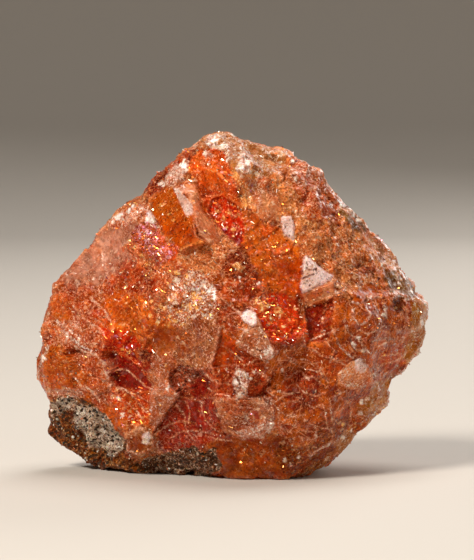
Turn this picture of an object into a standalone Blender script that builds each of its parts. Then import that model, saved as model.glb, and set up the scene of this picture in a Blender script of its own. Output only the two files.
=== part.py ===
"""A rough sunstone: one broken lump of aventurine feldspar, with grey host rock grown onto its lower left corner.

The lump is a ball of clay that is pressed to the stone's front outline, cut by its large fracture faces, stepped
by its cleavage ledges, broken into smaller cells, and set on the flat break that it rests on. The front faces -Y.
Lengths are in millimetres until the mesh is made, and the finished mesh is in metres.
"""

import math

import bmesh
import bpy
import numpy as np
from mathutils import Euler, Vector, noise

# The overall width, how far the front and back bulge, how boxy that bulge is (1 is an ellipse), and the level that
# the underside is broken off at.
MM = 0.001
WIDTH = 60.0
FRONT_DEPTH = 20.5
BACK_DEPTH = 18.5
FULLNESS = 0.80
REST_LEVEL = 0.9

# The lump's middle (x, z), and how finely the clay ball and the finished lump are divided.
HEART = (0.0, 24.0)
BALL_SUBDIVISIONS = 6
TRIANGLES = 8800
FLAT_REACH = 0.05

# The outline and the ledges are drawn as the eye sees them, from this far off and this far above the level.
EYE_DISTANCE = 480.0
EYE_ELEVATION = math.radians(5.0)

# The front outline, clockwise from the top: x to the right of the lump's middle, z above its lowest point.
OUTLINE = (
    (-1.5, 52.8), (0.2, 52.4), (1.2, 51.6), (2.4, 51.6), (4.5, 50.5), (7.3, 49.8), (9.1, 48.9), (11.0, 48.4),
    (12.2, 47.4), (13.4, 46.6), (14.0, 44.9), (14.9, 44.0), (16.3, 42.2), (18.6, 40.1), (19.5, 39.3),
    (20.7, 37.6), (22.8, 36.0), (24.2, 34.7), (25.0, 33.0), (25.4, 31.6), (26.7, 30.6), (27.5, 29.2),
    (27.7, 27.7), (28.9, 27.3), (30.0, 26.2), (29.9, 24.3), (29.3, 22.7), (29.7, 21.6), (28.9, 19.4),
    (27.3, 17.9), (25.8, 15.9), (24.2, 14.9), (23.8, 13.2), (23.6, 11.0), (21.1, 9.3), (18.8, 7.2),
    (18.0, 5.8), (16.1, 3.9), (13.6, 2.1), (11.4, 1.2), (8.7, 0.9), (5.9, 0.9), (2.6, 0.2), (0.2, 0.0),
    (-1.8, 0.4), (-5.0, 0.9), (-9.6, 0.8), (-11.4, 0.4), (-14.0, 0.6), (-17.3, 1.0), (-20.0, 1.4),
    (-22.1, 2.1), (-24.7, 3.5), (-26.8, 4.9), (-28.5, 6.2), (-27.9, 7.8), (-28.2, 9.3), (-27.8, 11.7),
    (-28.9, 13.2), (-29.9, 15.2), (-30.0, 17.9), (-28.9, 20.3), (-29.2, 22.4), (-28.6, 24.7), (-27.7, 27.2),
    (-27.3, 28.9), (-26.6, 30.1), (-25.1, 31.9), (-23.5, 33.7), (-21.5, 35.5), (-20.6, 37.3), (-19.0, 38.8),
    (-17.9, 40.4), (-15.5, 42.3), (-14.1, 42.6), (-13.4, 43.7), (-12.1, 45.1), (-11.0, 46.6), (-9.7, 47.3),
    (-7.9, 49.1), (-5.3, 50.7), (-4.1, 52.1),
)

# How the widest line of the lump wanders forwards and back round it: height, number of waves and phase of each part.
RIM_WANDER = ((2.2, 2, 0.7), (1.3, 3, 2.0))

# Large fracture faces: how far each stands out at the heart, and how that falls off along x and z.
FRONT_FACES = {
    "left_face": (18.4, 0.36, -0.20),
    "upper_right_face": (18.8, -0.30, -0.42),
    "lower_right_face": (19.2, -0.40, 0.10),
    "lower_front": (19.2, 0.02, 0.38),
    "crown": (19.6, 0.14, -0.50),
    "lower_left": (19.6, 0.50, 0.34),
}
BACK_FACES = {
    "broad_back": (15.2, -0.10, -0.14),
    "back_right": (18.4, -0.48, -0.05),
    "back_left": (17.6, 0.40, 0.10),
    "back_top": (17.6, 0.05, -0.52),
    "back_foot": (17.6, 0.12, 0.36),
}

# How much of the bulge is left above a cut, so that a cut face is not quite flat.
CUT_CROWN = 0.12

# Faces that rise from the rim: how many, their least and most slope, and the blunt edge that they leave.
RIM_FACES = 13
RIM_SLOPE = (0.7, 2.6)
RIM_EDGE = (0.8, 4.2)

# The foot: how much thicker its edge is, how much deeper than the outline it is pressed before the flat break is
# cut, how far down the outline has to face to belong to it, and the hollows under it (x, y, reach, height).
FOOT_EDGE = 5.5
FOOT_DROP = 0.09
FOOT_FACING = (0.86, 0.97)
FOOT_HOLLOWS = (
    (-6.2, -7.5, 4.4, 1.1),
    (7.5, 7.0, 5.0, 1.0),
    (-13.0, 6.5, 3.6, 0.8),
)

# Small flat chips on each side: how many, and the least and most reach of one.
CHIPS = 30
CHIP_REACH = (3.5, 8.5)

# Cleavage ledges on the front: corners (x, z), then how far each stands out and its tilt along x and z.
LEDGES = {
    "left_bulge": (((-29.4, 19.6), (-26.3, 20.4), (-24.1, 18.1), (-24.8, 13.6), (-28.6, 13.2)), 0.8, 0.0, 0.1),
    "crown_knob": (((-5.0, 51.6), (-1.2, 52.7), (1.1, 51.6), (2.6, 47.8), (1.8, 45.8), (-0.2, 48.6), (-3.5, 50.1)),
                   0.8, 0.0, 0.0),
    "amber_slab": (((-12.3, 42.5), (-9.3, 44.6), (-7.8, 43.7), (-4.3, 38.7), (-5.0, 36.4), (-7.5, 34.6),
                    (-9.6, 37.2)), 1.0, 0.0, -0.15),
    "pale_sliver": (((-9.1, 44.3), (-6.2, 43.1), (-3.2, 38.5), (-1.4, 36.4), (-2.9, 35.9), (-5.0, 38.5),
                     (-6.6, 41.7)), 0.5, -0.45, 0.0),
    "red_cleft": (((-4.6, 45.8), (-2.3, 45.4), (-0.2, 41.7), (0.8, 36.7), (-0.6, 34.9), (-2.6, 37.4),
                   (-4.6, 41.2)), -2.0, 0.30, 0.0),
    "pale_facet": (((7.3, 40.1), (9.1, 40.2), (9.3, 36.4), (7.9, 36.9)), 0.6, 0.0, 0.0),
    "triangle_block": (((10.5, 33.8), (15.4, 30.0), (10.2, 26.8)), 1.4, -0.10, 0.10),
    "triangle_block_foot": (((10.2, 26.8), (15.4, 30.0), (15.7, 27.9), (10.8, 25.4)), 0.8, 0.0, 0.55),
    "square_recess": (((11.0, 25.4), (14.5, 27.3), (15.2, 22.7), (12.0, 21.5)), -1.2, 0.0, 0.0),
    "red_hollow": (((5.3, 28.5), (10.2, 26.8), (11.1, 21.9), (10.2, 20.4), (7.9, 21.5), (5.9, 24.2)),
                   -0.9, 0.15, 0.0),
    "centre_plate": (((-5.6, 27.3), (-1.7, 27.7), (0.8, 23.5), (-1.2, 19.6), (-2.6, 14.6), (-8.1, 15.8),
                      (-9.3, 19.6)), 1.1, 0.10, 0.0),
    "orange_wedge": (((-1.4, 20.4), (1.1, 21.5), (1.5, 16.9), (-2.6, 16.3)), -1.2, 0.0, 0.0),
    "pyramid": (((1.1, 23.5), (2.3, 25.6), (4.4, 25.1), (6.5, 19.3), (4.9, 18.6), (0.0, 19.3)), 1.5, 0.05, -0.12),
    "dark_pit": (((-9.3, 16.9), (-5.0, 16.3), (-4.3, 13.6), (-7.3, 12.0), (-9.6, 14.3)), -2.2, 0.0, 0.0),
    "crystal_stub": (((0.9, 16.3), (3.7, 16.0), (3.5, 10.8), (1.1, 11.1)), 1.0, 0.0, 0.0),
    "shelf": (((-2.6, 12.3), (4.4, 12.3), (7.2, 10.2), (5.9, 6.5), (1.7, 5.9), (-2.9, 9.3)), 1.3, 0.0, 0.12),
    "wedge_plate": (((-12.8, 13.3), (-8.1, 13.9), (-8.7, 11.7), (-12.0, 7.2)), 1.0, -0.20, 0.0),
    "dark_fold": (((-11.4, 8.2), (-7.3, 13.3), (-2.9, 12.3), (-2.7, 5.9), (-6.5, 4.4), (-10.4, 4.4)),
                  -1.0, 0.0, 0.0),
    "hot_hollow": (((-19.0, 20.4), (-16.4, 21.5), (-12.9, 18.1), (-12.6, 14.3), (-15.7, 14.3), (-18.4, 16.9)),
                   -1.4, 0.12, 0.0),
    "ring_knob": (((-16.0, 7.5), (-12.6, 8.2), (-11.4, 5.9), (-12.6, 3.7), (-15.4, 3.2)), 0.8, 0.0, 0.0),
    "host_rock": (((-29.5, 11.9), (-23.6, 12.3), (-21.0, 10.5), (-17.5, 6.4), (-17.2, 3.7), (-20.3, 1.0),
                   (-28.0, 1.0)), -0.8, 0.0, 0.0),
    "host_rock_underside": (((-12.6, 3.6), (-8.8, 5.2), (-4.3, 4.4), (-2.3, 2.6), (-2.7, 0.4), (-11.9, 0.2)),
                            -1.0, 0.0, -0.15),
    "frosted_face": (((16.0, 19.6), (19.3, 19.6), (22.1, 15.8), (21.2, 13.2), (17.1, 13.9), (15.5, 16.3)),
                     0.9, 0.05, 0.08),
    "upper_web_block": (((10.2, 20.4), (14.8, 21.9), (17.1, 18.9), (16.0, 15.1), (11.7, 15.8)), 0.5, 0.0, 0.10),
    "lower_web_block": (((5.6, 15.1), (11.7, 15.4), (14.8, 12.0), (13.2, 8.2), (7.9, 7.5), (5.3, 10.8)),
                        0.6, -0.08, 0.0),
    "right_knob": (((21.7, 27.5), (26.0, 28.5), (28.9, 26.6), (28.8, 22.6), (24.4, 21.3)), 0.8, 0.0, 0.0),
}
LEDGE_EDGE = 0.42

# Sizes of broken cell: mean size, height of the steps between cells, and slope of a cell's own face.
CELLS = (
    (9.0, 0.55, 0.12),
    (4.8, 0.26, 0.10),
)
CLEAVAGE_TURN = (0.35, 0.20, 0.55)
CLEAVAGE_STRETCH = (1.0, 1.25, 1.6)
BLOCKINESS = 0.6

# The burrs that the steps leave are rubbed down this often and this strongly, and the faces swell a little.
RUBS = 1
RUB = 0.45
SWELL_HEIGHT = 0.35
SWELL_LENGTH = 8.0

# How strongly the rim keeps to the outline after it has been chipped, and where the rim begins.
RIM_KEEP = 0.9
RIM_STARTS = 0.965
SHARP_ANGLE = math.radians(25.0)
SEED = 1709


def smooth_step(low, high, value):
    """Rises smoothly from 0 at low to 1 at high."""
    t = np.clip((value - low) / (high - low), 0.0, 1.0)
    return t * t * (3.0 - 2.0 * t)


def as_drawn(points):
    """Where the eye sees each point, as x and z in the plane through the heart that faces it."""
    up = points[:, 1] * math.sin(EYE_ELEVATION) + (points[:, 2] - HEART[1]) * math.cos(EYE_ELEVATION)
    nearer = (points[:, 2] - HEART[1]) * math.sin(EYE_ELEVATION) - points[:, 1] * math.cos(EYE_ELEVATION)
    larger = EYE_DISTANCE / (EYE_DISTANCE - nearer)
    return points[:, 0] * larger, HEART[1] + up * larger


def ball_directions():
    """The clay ball: a unit icosphere as a bmesh, and its directions as an array."""
    ball = bmesh.new()
    bmesh.ops.create_icosphere(ball, subdivisions=BALL_SUBDIVISIONS, radius=1.0)
    directions = np.array([vertex.co for vertex in ball.verts])
    return ball, directions / np.linalg.norm(directions, axis=1)[:, None]


def outline_radius(angles, blur=0.0):
    """The outline's distance from the heart at each angle, averaged over plus and minus blur radians."""
    corners = np.array(OUTLINE) - np.array(HEART)
    scale = WIDTH / (corners[:, 0].max() - corners[:, 0].min())
    corner_angles = np.arctan2(corners[:, 1], corners[:, 0])
    radii = np.hypot(corners[:, 0], corners[:, 1]) * scale
    order = np.argsort(corner_angles)
    shifts = np.linspace(-blur, blur, 9) if blur else np.zeros(1)
    return np.mean(
        [np.interp(angles + s, corner_angles[order], radii[order], period=2 * math.pi) for s in shifts], axis=0
    )


def press_to_outline(directions):
    """Presses the ball into a thick pillow whose front view has the stone's outline."""
    flat = np.hypot(directions[:, 0], directions[:, 2])
    angles = np.arctan2(directions[:, 2], directions[:, 0])
    near_rim = smooth_step(0.90, 1.0, flat)
    radius = outline_radius(angles, blur=0.30) * (1 - near_rim) + outline_radius(angles) * near_rim
    radius *= 1.0 + FOOT_DROP * smooth_step(*FOOT_FACING, -np.sin(angles))
    across = radius * flat**FULLNESS
    depth = np.where(directions[:, 1] < 0, FRONT_DEPTH, BACK_DEPTH)
    rim = sum(height * np.sin(waves * angles + phase) for height, waves, phase in RIM_WANDER)
    rim *= smooth_step(0.0, 0.9, flat)
    points = np.empty_like(directions)
    points[:, 0] = HEART[0] + across * np.cos(angles)
    points[:, 1] = np.sign(directions[:, 1]) * depth * np.abs(directions[:, 1]) ** FULLNESS + rim
    points[:, 2] = HEART[1] + across * np.sin(angles)
    return points, rim


def cut_back(points, rim, side, face):
    """Cuts the front (side -1) or the back (side 1) down to a face, moving points only along y."""
    relief = points[:, 1] * side
    edge = rim * side
    lowest = np.maximum(face, edge + CUT_CROWN * (relief - edge))
    cut = np.where(relief > edge, np.minimum(relief, lowest), relief)
    points[:, 1] = cut * side


def cut_large_faces(points, rim, side, faces):
    """Cuts one side down to its large fracture faces."""
    for outstand, slope_x, slope_z in faces.values():
        face = outstand + slope_x * (points[:, 0] - HEART[0]) + slope_z * (points[:, 2] - HEART[1])
        cut_back(points, rim, side, face)


def cut_rim_faces(points, rim, side, random):
    """Cuts faces that rise from short stretches of the rim, so that the rim is an edge and not a band."""
    for number in range(RIM_FACES):
        angle = 2 * math.pi * (number + random.uniform(-0.3, 0.3)) / RIM_FACES
        ends = []
        for turned in (angle - 0.2, angle + 0.2):
            radius = float(outline_radius(np.array([turned]))[0])
            ends.append((HEART[0] + radius * math.cos(turned), HEART[1] + radius * math.sin(turned)))
        (x0, z0), (x1, z1) = ends
        length = math.hypot(x1 - x0, z1 - z0)
        inward = ((points[:, 2] - z0) * (x1 - x0) - (points[:, 0] - x0) * (z1 - z0)) / length
        edge = random.uniform(*RIM_EDGE) + FOOT_EDGE * smooth_step(0.5, 0.95, -math.sin(angle))
        face = rim * side + edge + random.uniform(*RIM_SLOPE) * np.maximum(inward, 0.0)
        cut_back(points, rim, side, face)


def fitted_face(points, chosen):
    """The plane y = a + b x + c z that best follows the chosen points, as y at every point."""
    design = np.column_stack((np.ones(len(points)), points[:, 0], points[:, 2]))
    plane = np.linalg.lstsq(design[chosen], points[chosen, 1], rcond=None)[0]
    return design @ plane


def cut_chips(points, rim, side, random):
    """Knocks small flat chips off one side."""
    on_side = np.flatnonzero((points[:, 1] - rim) * side > 1.0)
    for _ in range(CHIPS):
        middle = points[random.choice(on_side)]
        away = np.linalg.norm(points - middle, axis=1)
        near = (away < random.uniform(*CHIP_REACH)) & ((points[:, 1] - rim) * side > 0.0)
        cut_back(points, rim, side, fitted_face(points, near) * side)


def inside_by(x, z, corners):
    """How far each x and z lies inside a polygon, negative outside it."""
    nearest = np.full(len(x), np.inf)
    inside = np.zeros(len(x), bool)
    for (x0, z0), (x1, z1) in zip(corners, corners[1:] + corners[:1]):
        along = np.clip(((x - x0) * (x1 - x0) + (z - z0) * (z1 - z0)) / ((x1 - x0) ** 2 + (z1 - z0) ** 2), 0, 1)
        nearest = np.minimum(nearest, np.hypot(x - x0 - along * (x1 - x0), z - z0 - along * (z1 - z0)))
        if z0 != z1:
            inside ^= ((z0 > z) != (z1 > z)) & (x < x0 + (z - z0) * (x1 - x0) / (z1 - z0))
    return np.where(inside, nearest, -nearest)


def step_ledges(points, rim):
    """Flattens each cleavage ledge on the front and raises or sinks it, with a steep edge round it."""
    front = smooth_step(0.0, 2.0, rim - points[:, 1])
    for corners, outstand, slope_x, slope_z in LEDGES.values():
        drawn_x, drawn_z = as_drawn(points)
        middle_x, middle_z = np.mean(corners, axis=0)
        inside = inside_by(drawn_x, drawn_z, corners)
        share = smooth_step(-LEDGE_EDGE, LEDGE_EDGE, inside) * front
        tilt = slope_x * (drawn_x - middle_x) + slope_z * (drawn_z - middle_z)
        face = fitted_face(points, (inside > 0) & (front > 0.5)) - outstand - tilt
        points[:, 1] += share * (face - points[:, 1])


def cleavage_axes():
    """The stone's three cleavage directions as rows, turned from the frame and stretched into blocks."""
    turned = Euler(CLEAVAGE_TURN).to_matrix()
    return np.array(turned) / np.array(CLEAVAGE_STRETCH)[:, None]


def break_into_cells(points, size, step, slope, random):
    """Breaks the surface into blocky cells, each with its own height and its own flat, tilted face."""
    axes = cleavage_axes()
    low = points.min(axis=0) - size
    high = points.max(axis=0) + size
    count = int(np.prod(high - low) / size**3)
    middles = random.uniform(low, high, (count, 3))
    heights = random.uniform(-step, step, count)
    slopes = random.uniform(-slope, slope, (count, 3))
    nearest = np.full(len(points), np.inf)
    cell = np.zeros(len(points), int)
    for number, middle in enumerate(middles):
        away = np.abs((points - middle) @ axes.T)
        reach = BLOCKINESS * away.max(axis=1) + (1 - BLOCKINESS) * np.linalg.norm(away, axis=1)
        closer = reach < nearest
        nearest[closer] = reach[closer]
        cell[closer] = number
    half_sizes = np.array((WIDTH / 2, FRONT_DEPTH, HEART[1]))
    outward = (points - np.array((HEART[0], 0.0, HEART[1]))) / half_sizes**2
    outward /= np.linalg.norm(outward, axis=1)[:, None]
    lift = heights[cell] + np.sum(slopes[cell] * (points - middles[cell]), axis=1)
    points += outward * np.clip(lift, -2 * step, 2 * step)[:, None]


def soften(points):
    """A gentle swell of a few tenths of a millimetre, so that no large face is a perfect plane."""
    for number, point in enumerate(points):
        points[number, 1] += SWELL_HEIGHT * noise.noise(Vector(point) / SWELL_LENGTH)


def keep_outline(points, flat, pressed):
    """Brings the rim most of the way back to the outline, after the cells have chipped it."""
    keep = RIM_KEEP * smooth_step(RIM_STARTS, 1.0, flat)
    points += (pressed - points) * keep[:, None] * np.array((1.0, 0.0, 1.0))


def rest_on_foot(points):
    """Cuts the flat break that the stone rests on, and leaves its shallow hollows."""
    floor = np.full(len(points), REST_LEVEL)
    for x, y, reach, height in FOOT_HOLLOWS:
        floor += height * (1.0 - smooth_step(0.0, reach, np.hypot(points[:, 0] - x, points[:, 1] - y)))
    points[:, 2] = np.maximum(points[:, 2], floor)


def rub_down(ball, points):
    """Rubs down the burrs that the steps leave, without taking the steps away."""
    for vertex, point in zip(ball.verts, points):
        vertex.co = point
    for _ in range(RUBS):
        bmesh.ops.smooth_vert(
            ball, verts=ball.verts[:], factor=RUB, use_axis_x=True, use_axis_y=True, use_axis_z=True
        )
    return np.array([vertex.co for vertex in ball.verts])


def shaped_clay():
    """The whole lump as a dense mesh in millimetres, flat where it rests."""
    random = np.random.default_rng(SEED)
    ball, directions = ball_directions()
    points, rim = press_to_outline(directions)
    pressed = points.copy()
    for side, faces in ((-1, FRONT_FACES), (1, BACK_FACES)):
        cut_large_faces(points, rim, side, faces)
        cut_rim_faces(points, rim, side, random)
        cut_chips(points, rim, side, random)
    for size, step, slope in CELLS:
        break_into_cells(points, size, step, slope, random)
    step_ledges(points, rim)
    points = rub_down(ball, points)
    soften(points)
    keep_outline(points, np.hypot(directions[:, 0], directions[:, 2]), pressed)
    rest_on_foot(points)
    for vertex, point in zip(ball.verts, points):
        vertex.co = point
    clay = bpy.data.meshes.new("clay")
    ball.to_mesh(clay)
    ball.free()
    return clay


def thinned(clay):
    """The same lump with large triangles on its flat faces and small ones along its edges."""
    holder = bpy.data.objects.new("clay", clay)
    bpy.context.scene.collection.objects.link(holder)
    thin = holder.modifiers.new("thin", "DECIMATE")
    thin.ratio = TRIANGLES / len(clay.polygons)
    graph = bpy.context.evaluated_depsgraph_get()
    mesh = bpy.data.meshes.new_from_object(holder.evaluated_get(graph))
    bpy.data.objects.remove(holder)
    bpy.data.meshes.remove(clay)
    return mesh


def seat(mesh):
    """Sets the lump on z = 0 with its box centred on the origin, and turns millimetres into metres."""
    points = np.array([vertex.co for vertex in mesh.vertices])
    low, high = points.min(axis=0), points.max(axis=0)
    points -= ((low[0] + high[0]) / 2, (low[1] + high[1]) / 2, low[2])
    points[points[:, 2] < FLAT_REACH, 2] = 0.0
    for vertex, point in zip(mesh.vertices, points):
        vertex.co = point * MM


def feldspar():
    """Translucent orange feldspar with a glassy lustre."""
    material = bpy.data.materials.new("feldspar")
    material.use_nodes = True
    shader = material.node_tree.nodes["Principled BSDF"]
    shader.inputs["Base Color"].default_value = (0.52, 0.12, 0.03, 1.0)
    shader.inputs["Roughness"].default_value = 0.35
    shader.inputs["Metallic"].default_value = 0.0
    return material


def make_sunstone():
    """The one piece: the stone with the host rock that has grown onto it."""
    mesh = thinned(shaped_clay())
    seat(mesh)
    mesh.name = "sunstone"
    mesh.materials.append(feldspar())
    mesh.shade_smooth()
    mesh.set_sharp_from_angle(angle=SHARP_ANGLE)
    stone = bpy.data.objects.new("sunstone", mesh)
    bpy.context.scene.collection.objects.link(stone)
    return stone


for leftover in list(bpy.data.objects):
    bpy.data.objects.remove(leftover)

make_sunstone()
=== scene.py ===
"""Looks of a rough sunstone: broken aventurine feldspar with grey host rock at its lower left.

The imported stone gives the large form. A fine skin is cast onto it, and its small faces and pits are cut
where the photograph shows them. Every point of the skin takes its finish from a named patch or, where the
photograph doesn't reach, from the habit of the whole stone. Platelets, threads, splinters and rock grains
are scattered on the skin. Lengths are in millimetres of the real stone, and in metres once a mesh is
made.
"""

import itertools
import logging
import math
from dataclasses import dataclass
from enum import Enum

import bmesh
import bpy
import numpy as np
from bpy.types import Material, Mesh, NodeOutputs, NodeSocket, NodeTree, Object
from mathutils import Matrix, Vector
from mathutils.bvhtree import BVHTree


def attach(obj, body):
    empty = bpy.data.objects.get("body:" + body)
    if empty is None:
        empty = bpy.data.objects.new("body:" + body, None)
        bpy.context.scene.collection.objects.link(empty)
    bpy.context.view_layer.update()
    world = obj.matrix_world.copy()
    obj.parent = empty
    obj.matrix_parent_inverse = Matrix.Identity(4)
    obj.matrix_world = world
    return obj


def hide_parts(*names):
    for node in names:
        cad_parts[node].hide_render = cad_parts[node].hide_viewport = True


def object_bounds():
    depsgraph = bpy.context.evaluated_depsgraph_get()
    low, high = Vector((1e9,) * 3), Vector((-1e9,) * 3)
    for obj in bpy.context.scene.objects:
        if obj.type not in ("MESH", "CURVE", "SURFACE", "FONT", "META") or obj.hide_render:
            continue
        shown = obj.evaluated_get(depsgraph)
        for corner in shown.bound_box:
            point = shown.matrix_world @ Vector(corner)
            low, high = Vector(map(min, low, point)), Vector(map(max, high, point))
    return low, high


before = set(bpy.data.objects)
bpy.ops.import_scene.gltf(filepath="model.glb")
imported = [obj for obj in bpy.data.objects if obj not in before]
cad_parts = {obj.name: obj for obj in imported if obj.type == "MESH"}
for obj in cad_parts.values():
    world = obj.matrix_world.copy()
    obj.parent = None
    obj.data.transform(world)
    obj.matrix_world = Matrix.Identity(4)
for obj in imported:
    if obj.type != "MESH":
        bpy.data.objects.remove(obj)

Pair = tuple[float, float]
Triple = tuple[float, float, float]
Sockets = dict[str, NodeSocket]

CAD_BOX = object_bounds()
STONE_NODE = "sunstone"
BODY = "root"
MM = 0.001

# The stone's middle, round which the skin is cast, and how many of the photograph's pixels it is wide.
HEART = (0.0, 0.0, 23.1)
STONE_COLUMNS = 394.0

# Large odd numbers that mix a cell's place into a number without a pattern that the eye could find.
CELL_MIX = (73856093, 19349663, 83492791)
SALT_MIX = 2654435761
LAST_MIX = 1274126177

log = logging.getLogger("sunstone")


def linear(code: str) -> Triple:
    """Turns an sRGB hex colour to linear light.

    Args:
        code: six hex digits after a #.

    Returns:
        Linear red, green and blue, from 0 to 1.
    """
    shades = [int(code[place : place + 2], 16) / 255 for place in (1, 3, 5)]
    return tuple(s / 12.92 if s <= 0.04045 else ((s + 0.055) / 1.055) ** 2.4 for s in shades)


def opaque(code: str) -> tuple[float, float, float, float]:
    """Turns an sRGB hex colour to what a colour socket holds."""
    return (*linear(code), 1.0)


def smooth_step(low: float, high: float, value: np.ndarray) -> np.ndarray:
    """Rises smoothly from 0 at low to 1 at high."""
    t = np.clip((value - low) / (high - low), 0.0, 1.0)
    return t * t * (3.0 - 2.0 * t)


def hashed(cells: np.ndarray, salt: int) -> np.ndarray:
    """Gives each whole-number cell a fixed number that looks random.

    Args:
        cells: whole numbers, one row of three for each cell.
        salt: a different number gives different results.

    Returns:
        One number from 0 to 1 for each row.
    """
    spread = cells * CELL_MIX
    mixed = spread[:, 0] ^ spread[:, 1] ^ spread[:, 2] ^ salt * SALT_MIX
    mixed = (mixed ^ (mixed >> 13)) * LAST_MIX
    mixed = mixed ^ (mixed >> 16)
    return (mixed & 0xFFFFFF) / 0xFFFFFF


def drift(points: np.ndarray, size: float, salt: int, octaves: int = 1) -> np.ndarray:
    """Smooth noise in space.

    Args:
        points: places in millimetres, one row each.
        size: width of one swell in millimetres.
        salt: picks one of many patterns.
        octaves: how many finer patterns, each half as wide and half as strong, are laid over the first.

    Returns:
        A number from -1 to 1 for each point.
    """
    total = np.zeros(len(points))
    strength = 1.0
    for octave in range(octaves):
        grid = points / (size * strength)
        cell = np.floor(grid).astype(np.int64)
        part = grid - cell
        part = part * part * (3.0 - 2.0 * part)
        for corner in itertools.product((0, 1), repeat=3):
            share = np.prod(np.where(corner, part, 1.0 - part), axis=1)
            total += strength * share * (2.0 * hashed(cell + corner, salt + 101 * octave) - 1.0)
        strength /= 2.0
    return total / (2.0 - 2.0 * strength)


def inside_by(flat: np.ndarray, corners: tuple[Pair, ...]) -> np.ndarray:
    """How far each flat point lies inside a polygon.

    Args:
        flat: column and row of each point.
        corners: the polygon's corners in order.

    Returns:
        The distance to the nearest side, negative outside.
    """
    x, y = flat[:, 0], flat[:, 1]
    nearest = np.full(len(flat), np.inf)
    inside = np.zeros(len(flat), bool)
    for (x0, y0), (x1, y1) in zip(corners, corners[1:] + corners[:1]):
        wide, high = x1 - x0, y1 - y0
        along = np.clip(((x - x0) * wide + (y - y0) * high) / (wide**2 + high**2), 0, 1)
        nearest = np.minimum(nearest, np.hypot(x - x0 - along * wide, y - y0 - along * high))
        if y0 != y1:
            inside ^= ((y0 > y) != (y1 > y)) & (x < x0 + (y - y0) * wide / high)
    return np.where(inside, nearest, -nearest)


@dataclass(frozen=True)
class Viewpoint:
    """The eye of the photograph, and how the photograph's pixels lie on the stone.

    heart is the stone's middle and distance the eye's way from it, in millimetres, and elevation how far
    the eye looks down. pixel is the width of a pixel at the heart, and heart_column and heart_row are
    where the heart shows. film is the camera's sensor width.
    """

    heart: Triple
    pixel: float
    distance: float = 480.0
    elevation: float = math.radians(5.0)
    frame_width: int = 474
    frame_height: int = 560
    heart_column: float = 233.0
    heart_row: float = 321.4
    film: float = 36.0

    @property
    def eye(self) -> np.ndarray:
        """Where the eye stands."""
        back = np.array((0.0, -math.cos(self.elevation), math.sin(self.elevation)))
        return np.array(self.heart) + self.distance * back

    @property
    def aim(self) -> np.ndarray:
        """The point in the middle of the frame, as far off as the stone's heart.

        Returns:
            The point in millimetres.
        """
        right = (self.frame_width / 2 - self.heart_column) * self.pixel
        up = (self.heart_row - self.frame_height / 2) * self.pixel
        return np.array(self.heart) + (right, up * math.sin(self.elevation), up * math.cos(self.elevation))

    @property
    def axes(self) -> np.ndarray:
        """The directions of the frame.

        Returns:
            Right, up and forward, as rows.
        """
        forward = (self.aim - self.eye) / np.linalg.norm(self.aim - self.eye)
        right = np.cross(forward, (0.0, 0.0, 1.0))
        right /= np.linalg.norm(right)
        return np.array((right, np.cross(right, forward), forward))

    @property
    def reach(self) -> float:
        """The eye's distance from the picture plane, counted in pixels."""
        return float(np.linalg.norm(self.aim - self.eye)) / self.pixel

    def pixels(self, points: np.ndarray) -> np.ndarray:
        """Finds where the photograph shows each point.

        Args:
            points: places in millimetres.

        Returns:
            Column and row of each.
        """
        seen = (points - self.eye) @ self.axes.T
        column = self.frame_width / 2 + self.reach * seen[:, 0] / seen[:, 2]
        row = self.frame_height / 2 - self.reach * seen[:, 1] / seen[:, 2]
        return np.column_stack((column, row))

    def make_camera(self) -> None:
        """Stands the scene's camera where the eye is."""
        camera = bpy.data.objects.new("camera", bpy.data.cameras.new("camera"))
        bpy.context.scene.collection.objects.link(camera)
        right, up, forward = self.axes
        turned = Matrix(np.column_stack((right, up, -forward)).tolist()).to_4x4()
        camera.matrix_world = Matrix.Translation(self.eye * MM) @ turned
        camera.data.sensor_width = self.film
        camera.data.lens = self.reach * self.film / self.frame_height
        bpy.context.scene.camera = camera


@dataclass(frozen=True)
class Finish:
    """How one kind of surface on the stone looks.

    body and second are the two tones that it drifts between, and fleck is the tone of its fine scatter.
    The shares run from 0 to 1: flecks, dark specks, pale crack lines (web), glitter flakes, and calm, how
    little its surface is broken. rough is its roughness.
    """

    body: str
    second: str
    fleck: str
    flecks: float = 0.5
    specks: float = 0.2
    web: float = 0.1
    rough: float = 0.38
    glitter: float = 0.1
    calm: float = 0.2
    host: float = 0.0

    def row(self) -> np.ndarray:
        """The finish as one row of numbers, colours first, in the order of COAT."""
        shares = (self.flecks, self.specks, self.web, self.rough, self.glitter, self.calm, self.host)
        return np.array((*linear(self.body), *linear(self.second), *linear(self.fleck), *shares))


COAT = {
    "body": slice(0, 3),
    "second": slice(3, 6),
    "fleck": slice(6, 9),
    "flecks": 9,
    "specks": 10,
    "web": 11,
    "rough": 12,
    "glitter": 13,
    "calm": 14,
    "host": 15,
}

# The names of the skin's attributes that the material reads.
SKIN_DATA = [f"{name}_colour" if isinstance(place, slice) else name for name, place in COAT.items()]


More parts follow.
